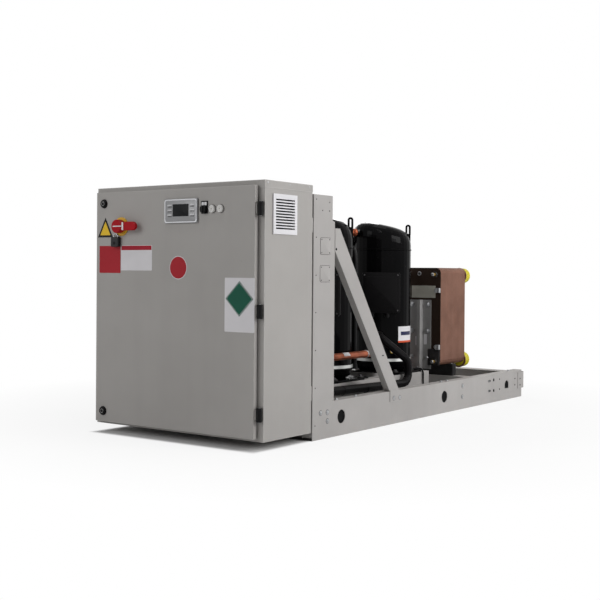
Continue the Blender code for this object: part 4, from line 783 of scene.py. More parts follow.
@dataclass
class Switchgear:
    """What stands on the mounting plate behind the door."""

    duct_levels: tuple[float, ...] = (0.955, 0.725, 0.485, 0.265)
    duct_size: tuple[float, float] = (0.700, 0.040)
    duct_depth: float = 0.050
    side_duct_x: float = 0.375
    breaker_count: int = 18
    breaker_pitch: float = 0.0180
    breaker_level: float = 0.84
    contactor_level: float = 0.60
    terminal_level: float = 0.165
    fin_count: int = 7
    plug_count: int = 9
    contactor_xs: tuple[float, ...] = (-0.27, -0.195, -0.12, -0.045)
    terminal_count: int = 56
    terminal_pitch: float = 0.0090
    face: float = field(init=False, default=0.0)

    def __post_init__(self) -> None:
        """Finds the face of the mounting plate."""
        self.face = float(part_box("mounting_plate")[0][1])

    def build(self) -> None:
        """Adds ducts, rails, breakers, contactors, drives, terminals and the controller."""
        self.build_ducts()
        self.build_rows()
        self.build_controller()

    def build_ducts(self) -> None:
        """Adds slotted wiring ducts with lids."""
        ducts, lids, slots = Shape(), Shape(), Shape()
        for z in self.duct_levels:
            ducts.panel((0.0, self.face, z), FRONT, self.duct_size, 0.001, HAIR, self.duct_depth)
            lids.panel((0.0, self.face, z), FRONT, (self.duct_size[0], self.duct_size[1] + 0.003), 0.002,
                       self.duct_depth, self.duct_depth + 0.004, 0.001)
            for k in range(34):
                x = -self.duct_size[0] / 2 + 0.012 + 0.0205 * k
                slots.panel((x, self.face, z), FRONT, (0.005, self.duct_size[1] + 0.0012), 0.0008, 0.008,
                            self.duct_depth - 0.006)
        for x in (-self.side_duct_x, self.side_duct_x):
            ducts.panel((x, self.face, 0.60), FRONT, (0.040, 0.740), 0.001, HAIR, self.duct_depth)
            lids.panel((x, self.face, 0.60), FRONT, (0.043, 0.740), 0.002, self.duct_depth,
                       self.duct_depth + 0.004, 0.001)
        ducts.build("wiring_ducts", DUCT, "base", "grey_plastic")
        lids.build("duct_lids", DUCT, "base", "grey_plastic")
        slots.build("duct_slots", BLACK_PLASTIC, "base", "black_plastic")

    def build_rows(self) -> None:
        """Adds mounting rails with breakers, contactors and terminals."""
        rails, bodies, levers, dark = Shape(), Shape(), Shape(), Shape()
        for z in (self.breaker_level, self.contactor_level, self.terminal_level):
            rails.panel((0.0, self.face, z), FRONT, (0.68, 0.035), 0.002, HAIR, 0.008, 0.001)
        for k in range(self.breaker_count):
            at, wide = (-0.30 + self.breaker_pitch * k, self.face, self.breaker_level), self.breaker_pitch - 0.0008
            bodies.panel(at, FRONT, (wide, 0.082), 0.001, 0.008, 0.050, 0.001)
            bodies.panel(at, FRONT, (wide, 0.045), 0.001, 0.050, 0.068, 0.001)
            levers.panel((at[0], at[1], at[2] + 0.006), FRONT, (0.010, 0.012), 0.001, 0.068, 0.076, 0.001)
        for x in self.contactor_xs:
            at = (x, self.face, self.contactor_level)
            dark.panel(at, FRONT, (0.062, 0.100), 0.003, 0.008, 0.062, 0.002)
            bodies.panel(at, FRONT, (0.054, 0.064), 0.002, 0.062, 0.088, 0.002)
            levers.panel(at, FRONT, (0.012, 0.018), 0.002, 0.088, 0.091, 0.001)
            for dx in (-0.019, 0.0, 0.019):
                for dz in (-0.042, 0.042):
                    dark.disc((x + dx, at[1], at[2] + dz), FRONT, 0.0045, 0.062, 0.0645, 0.0008, 12)
        dark.panel((0.16, self.face, 0.605), FRONT, (0.20, 0.150), 0.004, HAIR, 0.090, 0.003)
        for k in range(self.fin_count):
            dark.panel((0.16, self.face, 0.555 + 0.017 * k), FRONT, (0.180, 0.005), 0.001, 0.090, 0.093, 0.001)
        for k in range(self.terminal_count):
            at = (-0.25 + self.terminal_pitch * k, self.face, self.terminal_level)
            bodies.panel(at, FRONT, (self.terminal_pitch - 0.0006, 0.052), 0.0008, 0.008, 0.042)
        rails.build("mounting_rails", ZINC, "base", "zinc_sheet")
        bodies.build("breakers_and_terminals", BEIGE, "base", "grey_plastic")
        levers.build("breaker_levers", BLACK_PLASTIC, "base", "black_plastic")
        dark.build("contactors_and_drive", BOX_PLASTIC, "base", "black_plastic")

    def build_controller(self) -> None:
        """Adds the control unit with its plugs, a transformer and the wires of the breakers."""
        unit, plugs, core = Shape(), Shape(), Shape()
        unit.panel((-0.12, self.face, 0.375), FRONT, (0.34, 0.115), 0.004, 0.006, 0.052, 0.003)
        unit.panel((-0.12, self.face, 0.375), FRONT, (0.30, 0.050), 0.003, 0.052, 0.060, 0.002)
        for k in range(self.plug_count):
            for z in (0.332, 0.418):
                plugs.panel((-0.265 + 0.036 * k, self.face, z), FRONT, (0.030, 0.016), 0.001, 0.052, 0.064, 0.001)
        core.panel((0.22, self.face, 0.375), FRONT, (0.110, 0.120), 0.003, HAIR, 0.030, 0.002)
        core.panel((0.22, self.face, 0.375), FRONT, (0.070, 0.110), 0.012, 0.030, 0.085, 0.006)
        unit.build("control_unit", DUCT, "base", "grey_plastic")
        plugs.build("control_plugs", GREEN_PLASTIC, "base", "grey_plastic")
        core.build("transformer", DARK_STEEL, "base", "bracket_steel")
        wires = Shape()
        for k in range(12):
            x = -0.30 + 0.045 * k
            y = self.face - 0.040
            wires.tube(flowing([(x, y, 0.884), (x + 0.004, y - 0.012, 0.905), (x + 0.002, y - 0.004, 0.934)], 4),
                       0.0022, 6)
            wires.tube(flowing([(x, y, 0.796), (x - 0.004, y - 0.012, 0.772), (x, y - 0.004, 0.746)], 4), 0.0022, 6)
        wires.build("cabinet_wires", BLACK_PLASTIC, "base", "black_plastic")


@dataclass
class Door:
    """The hinged door pan with its bare plates, dimples and inner stiffeners."""

    red_plate: tuple[float, float, float, float] = (-0.4280, -0.2998, 0.6952, 0.8125)
    white_plate: tuple[float, float, float, float] = (-0.2970, -0.1145, 0.7065, 0.8140)
    header_height: float = 0.0205
    oval_at: tuple[float, float] = (0.0335, 0.7196)
    oval_radius: float = 0.0483
    card: tuple[float, float, float, float] = (0.2832, 0.4344, 0.4653, 0.6807)
    diamond_at: tuple[float, float] = (0.3580, 0.5975)
    diamond_half: float = 0.0700
    triangle: tuple[tuple[float, float], ...] = ((-0.4385, 0.8500), (-0.3465, 0.8497), (-0.3925, 0.9360))
    dimples: tuple[tuple[float, float], ...] = ((-0.1839, 0.6225), (0.3648, 0.7485))
    film: float = 0.0004
    face: float = field(init=False, default=0.0)
    back: float = field(init=False, default=0.0)

    def __post_init__(self) -> None:
        """Finds the door's outer face and its rear rim."""
        self.face = float(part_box("cabinet_door")[0][1])
        self.back = rim(-0.005)

    def dress(self) -> None:
        """Paints the door."""
        CABINET.dress("cabinet_door")

    def sheet(self, shape: Shape, area: tuple[float, float, float, float], corner: float, layer: int) -> None:
        """Adds a thin bare plate on the door.

        Args:
            shape: mesh that it goes into.
            area: left, right, bottom and top.
            corner: corner radius.
            layer: how many films lie under it.
        """
        left, right, bottom, top = area
        low = SEAT + self.film * layer
        shape.panel(((left + right) / 2, self.face, (bottom + top) / 2), FRONT, (right - left, top - bottom), corner,
                    low, low + self.film)

    def prism(self, shape: Shape, corners: Array, layer: int) -> None:
        """Adds a thin plate with straight sides, its corners counterclockwise as seen from the front."""
        low = SEAT + self.film * layer
        shape.stack((0.0, self.face, 0.0), FRONT, [corners, corners], [low, low + self.film])

    def build(self) -> None:
        """Adds the plates, dimples and the inside of the door."""
        white, red, dark_red, green, black, yellow = (Shape() for _ in range(6))
        self.sheet(red, self.red_plate, 0.003, 0)
        self.sheet(white, self.white_plate, 0.003, 0)
        left, right, _, top = self.white_plate
        self.sheet(dark_red, (left + 0.003, right - 0.003, top - self.header_height, top - 0.002), 0.001, 1)
        self.sheet(white, self.card, 0.004, 0)
        x, z = self.oval_at
        low = SEAT
        white.disc((x, self.face, z), FRONT, self.oval_radius, low, low + self.film, 0.0, 48)
        red.disc((x, self.face, z), FRONT, self.oval_radius - 0.003, low + self.film, low + 2 * self.film, 0.0, 48)
        cross = np.array([[1.0, 0.0], [0.0, 1.0], [-1.0, 0.0], [0.0, -1.0]])
        middle = np.array(self.diamond_at)
        self.prism(green, middle + cross * self.diamond_half, 1)
        self.prism(white, middle + cross * (self.diamond_half - 0.0040), 2)
        self.prism(green, middle + cross * (self.diamond_half - 0.0058), 3)
        outer = np.array(self.triangle)
        inner = outer.mean(axis=0) + (outer - outer.mean(axis=0)) * 0.68
        self.prism(black, outer, 0)
        self.prism(yellow, inner, 1)
        for shape, name, finish, slot in (
                (white, "bare_plates_white", PRINT_WHITE, "grey_plastic"),
                (red, "bare_plates_red", PRINT_RED, "red_plastic"),
                (dark_red, "bare_header_red", PRINT_DARK_RED, "red_plastic"),
                (green, "bare_diamond_green", PRINT_GREEN, "black_plastic"),
                (black, "bare_triangle_rim", PRINT_BLACK, "black_plastic"),
                (yellow, "bare_triangle", PRINT_YELLOW, "yellow_plastic")):
            shape.build(name, finish, "door", slot)
        dimples = Shape()
        for x, z in self.dimples:
            dimples.turned((x, self.face, z), FRONT, [(0.0046, 0.0001), (0.0040, 0.0007), (0.0018, 0.0010)], 16)
        dimples.build("door_dimples", CABINET, "door", "cabinet_paint")
        self.build_inside()

    def build_inside(self) -> None:
        """Adds two stiffeners, a document pocket and the earth stud behind the door sheet."""
        low, high, mid, _ = spans(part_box("cabinet_door"))
        inner = self.face + 0.002
        stiff, pocket, studs = Shape(), Shape(), Shape()
        middle = mid[2]
        for x in (low[0] + 0.085, high[0] - 0.125):
            stiff.panel((x, inner, middle), REAR, (0.030, 0.90), 0.002, HAIR, 0.012, 0.003)
        pocket.panel((0.02, inner, 0.33), REAR, (0.26, 0.20), 0.006, HAIR, 0.003, 0.001)
        pocket.panel((0.02, inner, 0.315), REAR, (0.27, 0.17), 0.008, 0.003, 0.013, 0.004)
        for x, z in ((-0.30, 0.12), (0.30, 0.12)):
            studs.bolt((x, inner, z), REAR, 0.014)
        stiff.build("door_stiffeners", CABINET, "door", "cabinet_paint")
        pocket.build("document_pocket", DUCT, "door", "grey_plastic")
        studs.build("door_earth_studs", BRASS, "door", "zinc_sheet")


@dataclass
class DoorFittings:
    """Display, selector, push buttons, locks, main switch and padlock."""

    screen: tuple[float, float, float, float] = (0.0085, 0.0960, 0.9302, 0.9806)
    key_levels: tuple[float, ...] = (0.9740, 0.9540, 0.9340)
    key_columns: tuple[float, float] = (-0.0090, 0.1150)
    key_size: tuple[float, float] = (0.024, 0.0072)
    bar: tuple[float, float] = (-0.0190, 0.0330)
    tee_x: float = 0.0390
    shackle_half: float = 0.0115
    door_face: float = field(init=False, default=0.0)

    def __post_init__(self) -> None:
        """Finds the door's outer face."""
        self.door_face = float(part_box("cabinet_door")[0][1])

    def dress(self) -> None:
        """Gives the carried-over fittings their plastics."""
        SILVER_PLASTIC.dress("display_panel")
        BLACK_PLASTIC.dress("selector_plate", "selector_knob", "lock_top", "lock_bottom")
        GREY_PLASTIC.dress("push_button_left", "push_button_right")
        YELLOW_PLASTIC.dress("main_switch_plate")
        RED_PLASTIC.dress("main_switch_handle")
        LOCK_STEEL.dress("padlock")

    def build(self) -> None:
        """Adds every small fitting."""
        self.build_display()
        self.build_selector()
        self.build_locks()
        self.build_switch()

    def build_display(self) -> None:
        """Adds the bright rim, the raised field, the screen and six keys with dark lines under them."""
        low, _, mid, size = spans(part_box("display_panel"))
        face = low[1]
        x, z = mid[0], mid[2]
        width, height = size[0], size[2]
        rims, field_, glass, keys, lines = (Shape() for _ in range(5))
        outer = [rounded(width - d, height - d, r, 6) for d, r in ((0.0040, 0.0110), (0.0052, 0.0105),
                                                                   (0.0130, 0.0085), (0.0150, 0.0075))]
        rings = np.array(outer) @ FRONT[:2] + np.array([0.0002, 0.0018, 0.0018, 0.0])[:, None, None] * FRONT[2]
        rims.shell(np.array([x, face, z]) + rings, capped=False)
        field_.panel((x, face, z), FRONT, (width - 0.0162, height - 0.0162), 0.007, INLAY, 0.0006, 0.0003)
        left, right, bottom, top = self.screen
        at = ((left + right) / 2, face, (bottom + top) / 2)
        glass.panel(at, FRONT, (right - left, top - bottom), 0.001, 0.0006, 0.0010, 0.0002)
        for column in self.key_columns:
            for level in self.key_levels:
                keys.panel((column, face, level + 0.0020), FRONT, self.key_size, 0.002, 0.0006, 0.0016, 0.0005)
                lines.panel((column + 0.001, face, level - 0.0034), FRONT, (0.021, 0.0030), 0.0006, 0.0006, 0.0012)
        rims.build("display_rim", BRIGHT_RIM, "door", "silver_plastic")
        field_.build("display_field", SILVER_PLASTIC, "door", "silver_plastic")
        glass.build("display_screen", SCREEN, "door", "black_plastic")
        keys.build("display_keys", KEY_PLASTIC, "door", "grey_plastic")
        lines.build("display_key_lines", BLACK_PLASTIC, "door", "black_plastic")

    def build_selector(self) -> None:
        """Adds the selector's two light fields and grip, and the buttons' inner rings and dots."""
        low, high, mid, _ = spans(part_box("selector_plate"))
        face = low[1]
        x = mid[0]
        squares, grip, dots = Shape(), Shape(), Shape()
        for dx in (-0.0072, 0.0072):
            squares.panel((x + dx, face, high[2] - 0.0115), FRONT, (0.0118, 0.0128), 0.0012, INLAY, 0.0007)
        knob_low, knob_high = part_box("selector_knob")
        centre = ((knob_low[0] + knob_high[0]) / 2, float(knob_low[1]), (knob_low[2] + knob_high[2]) / 2)
        grip.panel(centre, FRONT, (0.0085, 0.027), 0.003, INLAY, 0.0040, 0.0014)
        grip.build("selector_grip", BLACK_PLASTIC, "selector", "black_plastic")
        squares.build("selector_fields", WHITE_PLASTIC, "door", "grey_plastic")
        rings, outlines = Shape(), Shape()
        for label in ("left", "right"):
            low, _, mid, size = spans(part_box("push_button_" + label))
            at = (mid[0], low[1], mid[2])
            radius = size[0] / 2
            rings.ring(at, FRONT, radius * 0.80, 0.0009, 28, 8)
            outlines.ring((at[0], self.door_face - 0.0004, at[2]), FRONT, radius + 0.0009, 0.0008, 32, 8)
            dots.panel(at, FRONT, (0.0032, 0.0032), 0.0012, INLAY, 0.0005)
        rings.build("button_rings", WHITE_PLASTIC, "door", "grey_plastic")
        dots.build("button_dots", DARK_STEEL, "door", "black_plastic")
        outlines.build("button_seals", BLACK_PLASTIC, "door", "black_plastic")

    def build_locks(self) -> None:
        """Adds a raised rim with a black square, and a light ring painted as a glint, on each quarter-turn lock."""
        for label in ("top", "bottom"):
            low, _, mid, size = spans(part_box("lock_" + label))
            at = (mid[0], low[1], mid[2])
            radius = size[0] / 2
            glint_ring, rim_ring, seal = Shape(), Shape(), Shape()
            # Painted highlight: a light steel ring standing for the glint round the lock's face.
            glint_ring.ring(at, FRONT, radius * 0.46, 0.0011, 28, 8)
            rim_ring.panel(at, FRONT, (0.0085, 0.0085), 0.001, INLAY, 0.0014, 0.0005)
            rim_ring.ring(at, FRONT, radius * 0.76, 0.0014, 28, 8)
            seal.turned((at[0], self.door_face, at[2]), FRONT,
                        [(0.0198, SEAT), (0.0198, 0.0014), (0.0188, 0.0020)], 28)
            seal.build("lock_seal_" + label, BLACK_PLASTIC, "door", "black_plastic")
            glint_ring.build("lock_glint_ring_" + label, BRACKET_STEEL, label + "_lock", "bracket_steel")
            rim_ring.build("lock_rim_" + label, BLACK_PLASTIC, label + "_lock", "black_plastic")

    def build_switch(self) -> None:
        """Adds the main switch's white pointer and raised ridge."""
        face = float(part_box("main_switch_handle")[0][1])
        _, _, plate, _ = spans(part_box("main_switch_plate"))
        at = (plate[0], face, plate[2])
        pointer, ridge = Shape(), Shape()
        left, right = self.bar
        middle = at[0] + (left + right) / 2
        pointer.panel((middle, face, at[2]), FRONT, (right - left, 0.0042), 0.0008, INLAY, 0.0004)
        pointer.panel((at[0] + self.tee_x, face + 0.002, at[2]), FRONT, (0.0085, 0.033), 0.0012, HAIR, 0.0024, 0.0002)
        ridge.ring((at[0], face + 0.0012, at[2]), FRONT, 0.0262, 0.0012, 36, 8)
        pointer.build("switch_pointer", WHITE_PLASTIC, "switch_handle", "grey_plastic")
        ridge.build("switch_ridge", RED_PLASTIC, "switch_handle", "red_plastic")
        self.build_padlock()

    def build_padlock(self) -> None:
        """Adds the padlock's shackle, two legs joined by a low arch, and the plug on its face."""
        low, high, mid, _ = spans(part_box("padlock"))
        middle = (mid[0], mid[1], high[2])
        shackle, half = Shape(), self.shackle_half
        turn = np.linspace(0.0, math.pi, 13)
        arc = np.stack([middle[0] + half * np.cos(turn), np.full(13, middle[1]),
                        middle[2] + 0.004 + 0.010 * np.sin(turn)], axis=1)
        legs = np.vstack([[middle[0] + half, middle[1], middle[2] - 0.003], arc,
                          [middle[0] - half, middle[1], middle[2] - 0.003]])
        shackle.tube(legs, 0.0028, 10)
        shackle.build("padlock_shackle", ZINC, "door", "zinc_sheet")
        plug = Shape()
        plug.disc((middle[0], low[1], low[2] + 0.016), FRONT, 0.0065, INLAY, 0.0008, 0.0003, 20)
        plug.build("padlock_face", BLACK_PLASTIC, "door", "black_plastic")


@dataclass
class Vents:
    """The two louvred vent plates with their blades and filters."""

    slots: int = 11
    pitch: float = 0.0114
    length: float = 0.128
    blade_width: float = 0.008
    blade_tilt: float = math.radians(48.0)
    blade_depth: float = 0.0115
    filter_depth: float = 0.0180

    def build(self) -> None:
        """Adds tilted blades behind the slots, coloured dark as painted shade, and a dark filter behind them."""
        VENT_PLASTIC.dress("side_vent_right", "side_vent_left")
        for label, axes, sign in (("right", RIGHT, 1.0), ("left", LEFT, -1.0)):
            low, high, mid, _ = spans(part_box("side_vent_" + label))
            y, z = mid[1], mid[2]
            outer = sign * max(abs(low[0]), abs(high[0]))
            wall = outer - sign * self.blade_depth
            blades, mesh = Shape(), Shape()
            lean = np.array([axes[0], math.cos(self.blade_tilt) * axes[1] - math.sin(self.blade_tilt) * axes[2],
                             math.sin(self.blade_tilt) * axes[1] + math.cos(self.blade_tilt) * axes[2]])
            for k in range(self.slots):
                level = z + (k - (self.slots - 1) / 2) * self.pitch
                blades.panel((wall, y, level), lean, (self.length - 0.002, self.blade_width), 0.0008, -0.0006, 0.0006)
            mesh.panel((outer - sign * self.filter_depth, y, z), axes, (self.length, self.length), 0.002,
                       -0.0006, 0.0006)
            # The blades are white plastic in shade; they are coloured dark plastic as painted shade.
            blades.build("vent_blades_shaded_" + label, BOX_PLASTIC, "base", "black_plastic")
            mesh.build("vent_filter_" + label, GASKET, "base", "foot_rubber")


@dataclass
class Skid:
    """Posts, rails, braces and beams with all their small fasteners."""

    post_rivets: tuple[float, ...] = (1.010, 0.851, 0.692, 0.536, 0.378, 0.220, 0.062)
    post_rivet_from_rim: float = 0.353
    post_holes: tuple[tuple[float, float], ...] = ((0.451, 1.002), (0.398, 0.965), (0.451, 0.965))
    covers: tuple[tuple[float, float, float, float], ...] = ((0.384, 0.459, 0.780, 0.850),
                                                             (0.382, 0.457, 0.664, 0.733))
    post_bolts: tuple[tuple[float, float], ...] = ((0.394, 0.112), (0.445, 0.110), (0.446, 0.073))
    rail_bolts: tuple[tuple[float, float], ...] = ((1.695, 0.120), (1.692, 0.064))
    rail_slots: tuple[tuple[float, float], ...] = ((2.011, 0.120), (2.012, 0.066))
    rail_holes: tuple[tuple[float, float], ...] = ((2.066, 0.122), (2.067, 0.064))
    rail_dots: tuple[tuple[float, float], ...] = ((2.138, 0.121), (2.139, 0.066), (2.342, 0.109), (2.342, 0.073))
    tab_screws: tuple[tuple[float, float], ...] = ((2.406, 0.104), (2.406, 0.068))
    brace_bolts: tuple[tuple[float, float], ...] = ((0.993, 0.121), (1.046, 0.119))
    brace_marks: tuple[tuple[float, float], ...] = ((0.504, 0.804), (0.896, 0.325))
    lift_holes: tuple[tuple[float, float], ...] = ((0.553, 0.080), (1.497, 0.080))
    arch_hole: tuple[float, float] = (2.2325, 0.085)

    def dress(self) -> None:
        """Paints every frame member."""
        SKID.dress("post_right", "post_left", "side_rail_right", "side_rail_left", "brace_right", "brace_left",
                   "front_cross_beam", "top_tie", "end_beam", "cross_member_front", "cross_member_middle",
                   "cross_member_rear", "compressor_rail_right", "compressor_rail_left", "cabinet_hanger_top",
                   "cabinet_hanger_bottom")

    def build(self) -> None:
        """Adds rivets, bolts and cover plates on both sides, with dark marks painted as the shade in holes and slots
        and as shadow rings and outlines round bolts and covers.
        """
        for label, axes, sign in (("right", RIGHT, 1.0), ("left", LEFT, -1.0)):
            self.build_side(label, axes, sign * SIDE, sign)
        self.build_ends()

    def build_side(self, label: str, axes: Array, x: float, sign: float) -> None:
        """Adds what one side face carries.

        Args:
            label: name of the side.
            axes: axes of its outer face.
            x: world X of that face.
            sign: which way out is.
        """
        rivets, bolts, dark, plates, dots = (Shape() for _ in range(5))
        proud = 0.003 * sign
        # Rivet heads and hole marks here are darkened as painted shade.
        for z in self.post_rivets:
            dots.rivet((x, rim(self.post_rivet_from_rim), z), axes, 0.0028)
        for along, z in self.post_holes:
            dots.rivet((x, rim(along), z), axes, 0.0030)
        for near, far, bottom, top in self.covers:
            at = (x, rim((near + far) / 2), (bottom + top) / 2)
            plates.panel(at, axes, (far - near, top - bottom), 0.006, INLAY, 0.0014, 0.0006)
            # Painted shadow: a dark outline a little larger than the cover.
            dark.panel(at, axes, (far - near + 0.0022, top - bottom + 0.0022), 0.007, *MARK)
            for along in (near + 0.008, far - 0.008):
                for z in (bottom + 0.007, top - 0.007):
                    dots.rivet((x + 0.0014 * sign, rim(along), z), axes, 0.0026)
        for along, z in self.post_bolts + self.rail_bolts:
            # Painted shadow: a dark ring under each bolt head.
            dark.disc((x, rim(along), z), axes, 0.0118, *MARK, 0.0, 20)
            bolts.bolt((x, rim(along), z), axes, 0.0145, low=0.44)
        # Painted shade in the rail's slots and holes.
        for along, z in self.rail_slots:
            dark.panel((x, rim(along), z), axes, (0.030, 0.0120), 0.0058, *MARK)
            rivets.disc((x, rim(along - 0.005), z), axes, 0.0050, 0.0004, 0.0010, 0.0003, 14)
        for along, z in self.rail_holes:
            dark.disc((x, rim(along), z), axes, 0.0085, *MARK, 0.0, 18)
        for along, z in self.rail_dots:
            dots.rivet((x, rim(along), z), axes, 0.0044)
        for along, z in self.tab_screws:
            dots.disc((x + proud, rim(along), z), axes, 0.0050, SEAT, 0.0009, 0.0003, 14)
        for along, z in self.brace_bolts:
            dark.disc((x + proud, rim(along), z), axes, 0.0112, *MARK, 0.0, 20)
            bolts.bolt((x + proud, rim(along), z), axes, 0.0140, low=0.085)
        # Painted shade: a dark hole and slot on the brace.
        (hole_along, hole_z), (slot_along, slot_z) = self.brace_marks
        dark.disc((x, rim(hole_along), hole_z), axes, 0.0055, *MARK, 0.0, 16)
        dark.panel((x, rim(slot_along), slot_z), axes, (0.016, 0.0050), 0.002, *MARK)
        # Painted shade: dark discs set in the lifting and arch holes, standing for the shade inside them.
        hole_shades = Shape()
        web = (x - 0.0065 * sign)
        for along, z in self.lift_holes:
            hole_shades.disc((web, rim(along), z), axes, 0.044, -0.0012, 0.0012, 0.0004, 28)
        hole_shades.panel((web, rim(self.arch_hole[0]), self.arch_hole[1]), axes, (0.074, 0.068), 0.012, -0.0012, 0.0012)
        hole_shades.build("hole_shade_discs_" + label, HOLE_SHADE, "base", "foot_rubber")
        rivets.build("frame_screws_" + label, ZINC, "base", "zinc_sheet")
        dots.build("frame_rivets_" + label, RIVET_SHADE, "base", "bracket_steel")
        bolts.build("frame_bolts_" + label, ZINC, "base", "zinc_sheet")
        dark.build("painted_opening_shade_" + label, HOLE_SHADE, "base", "black_plastic")
        plates.build("post_covers_" + label, SKID, "base", "frame_paint")

    def build_ends(self) -> None:
        """Adds a dark strip painted as the shade under the front beam and posts, flange bolts and bolts of the
        hangers.
        """
        strip, bolts = Shape(), Shape()
        low, _, _, size = spans(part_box("front_cross_beam"))
        # Painted shade: a thin dark strip where the underside of the front beam and posts lies in shade.
        strip.panel((0.0, low[1], 0.008), FRONT, (size[0] - 0.006, 0.014), 0.002, INLAY,
                    0.0028, 0.0008)
        low, _, mid, size = spans(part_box("post_right"))
        middle, reach = mid[0], size[0] - 0.004
        for x in (-middle, middle):
            strip.panel((x, low[1], 0.0065), FRONT, (reach, 0.011), 0.002, INLAY, 0.0028, 0.0008)
        strip.build("front_shade_strip", RUBBER, "base", "foot_rubber")
        for label in ("front", "middle", "rear"):
            _, high, mid, _ = spans(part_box("cross_member_" + label))
            y = mid[1]
            for x in (-0.435, 0.435):
                bolts.bolt((x, y, high[2]), UP, 0.014)
        rail_top = float(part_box("side_rail_right")[1][2])
        for sign in (-1.0, 1.0):
            for along in (0.545, 0.700, 1.500, 1.560, 2.300):
                bolts.bolt((sign * (SIDE - 0.022), rim(along), rail_top), UP, 0.013)
        for label in ("top", "bottom"):
            _, high, mid, _ = spans(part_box("cabinet_hanger_" + label))
            z = mid[2]
            for x in (-0.36, -0.12, 0.12, 0.36):
                bolts.bolt((x, high[1], z), REAR, 0.013)
        bolts.build("frame_top_bolts", ZINC, "base", "zinc_sheet")


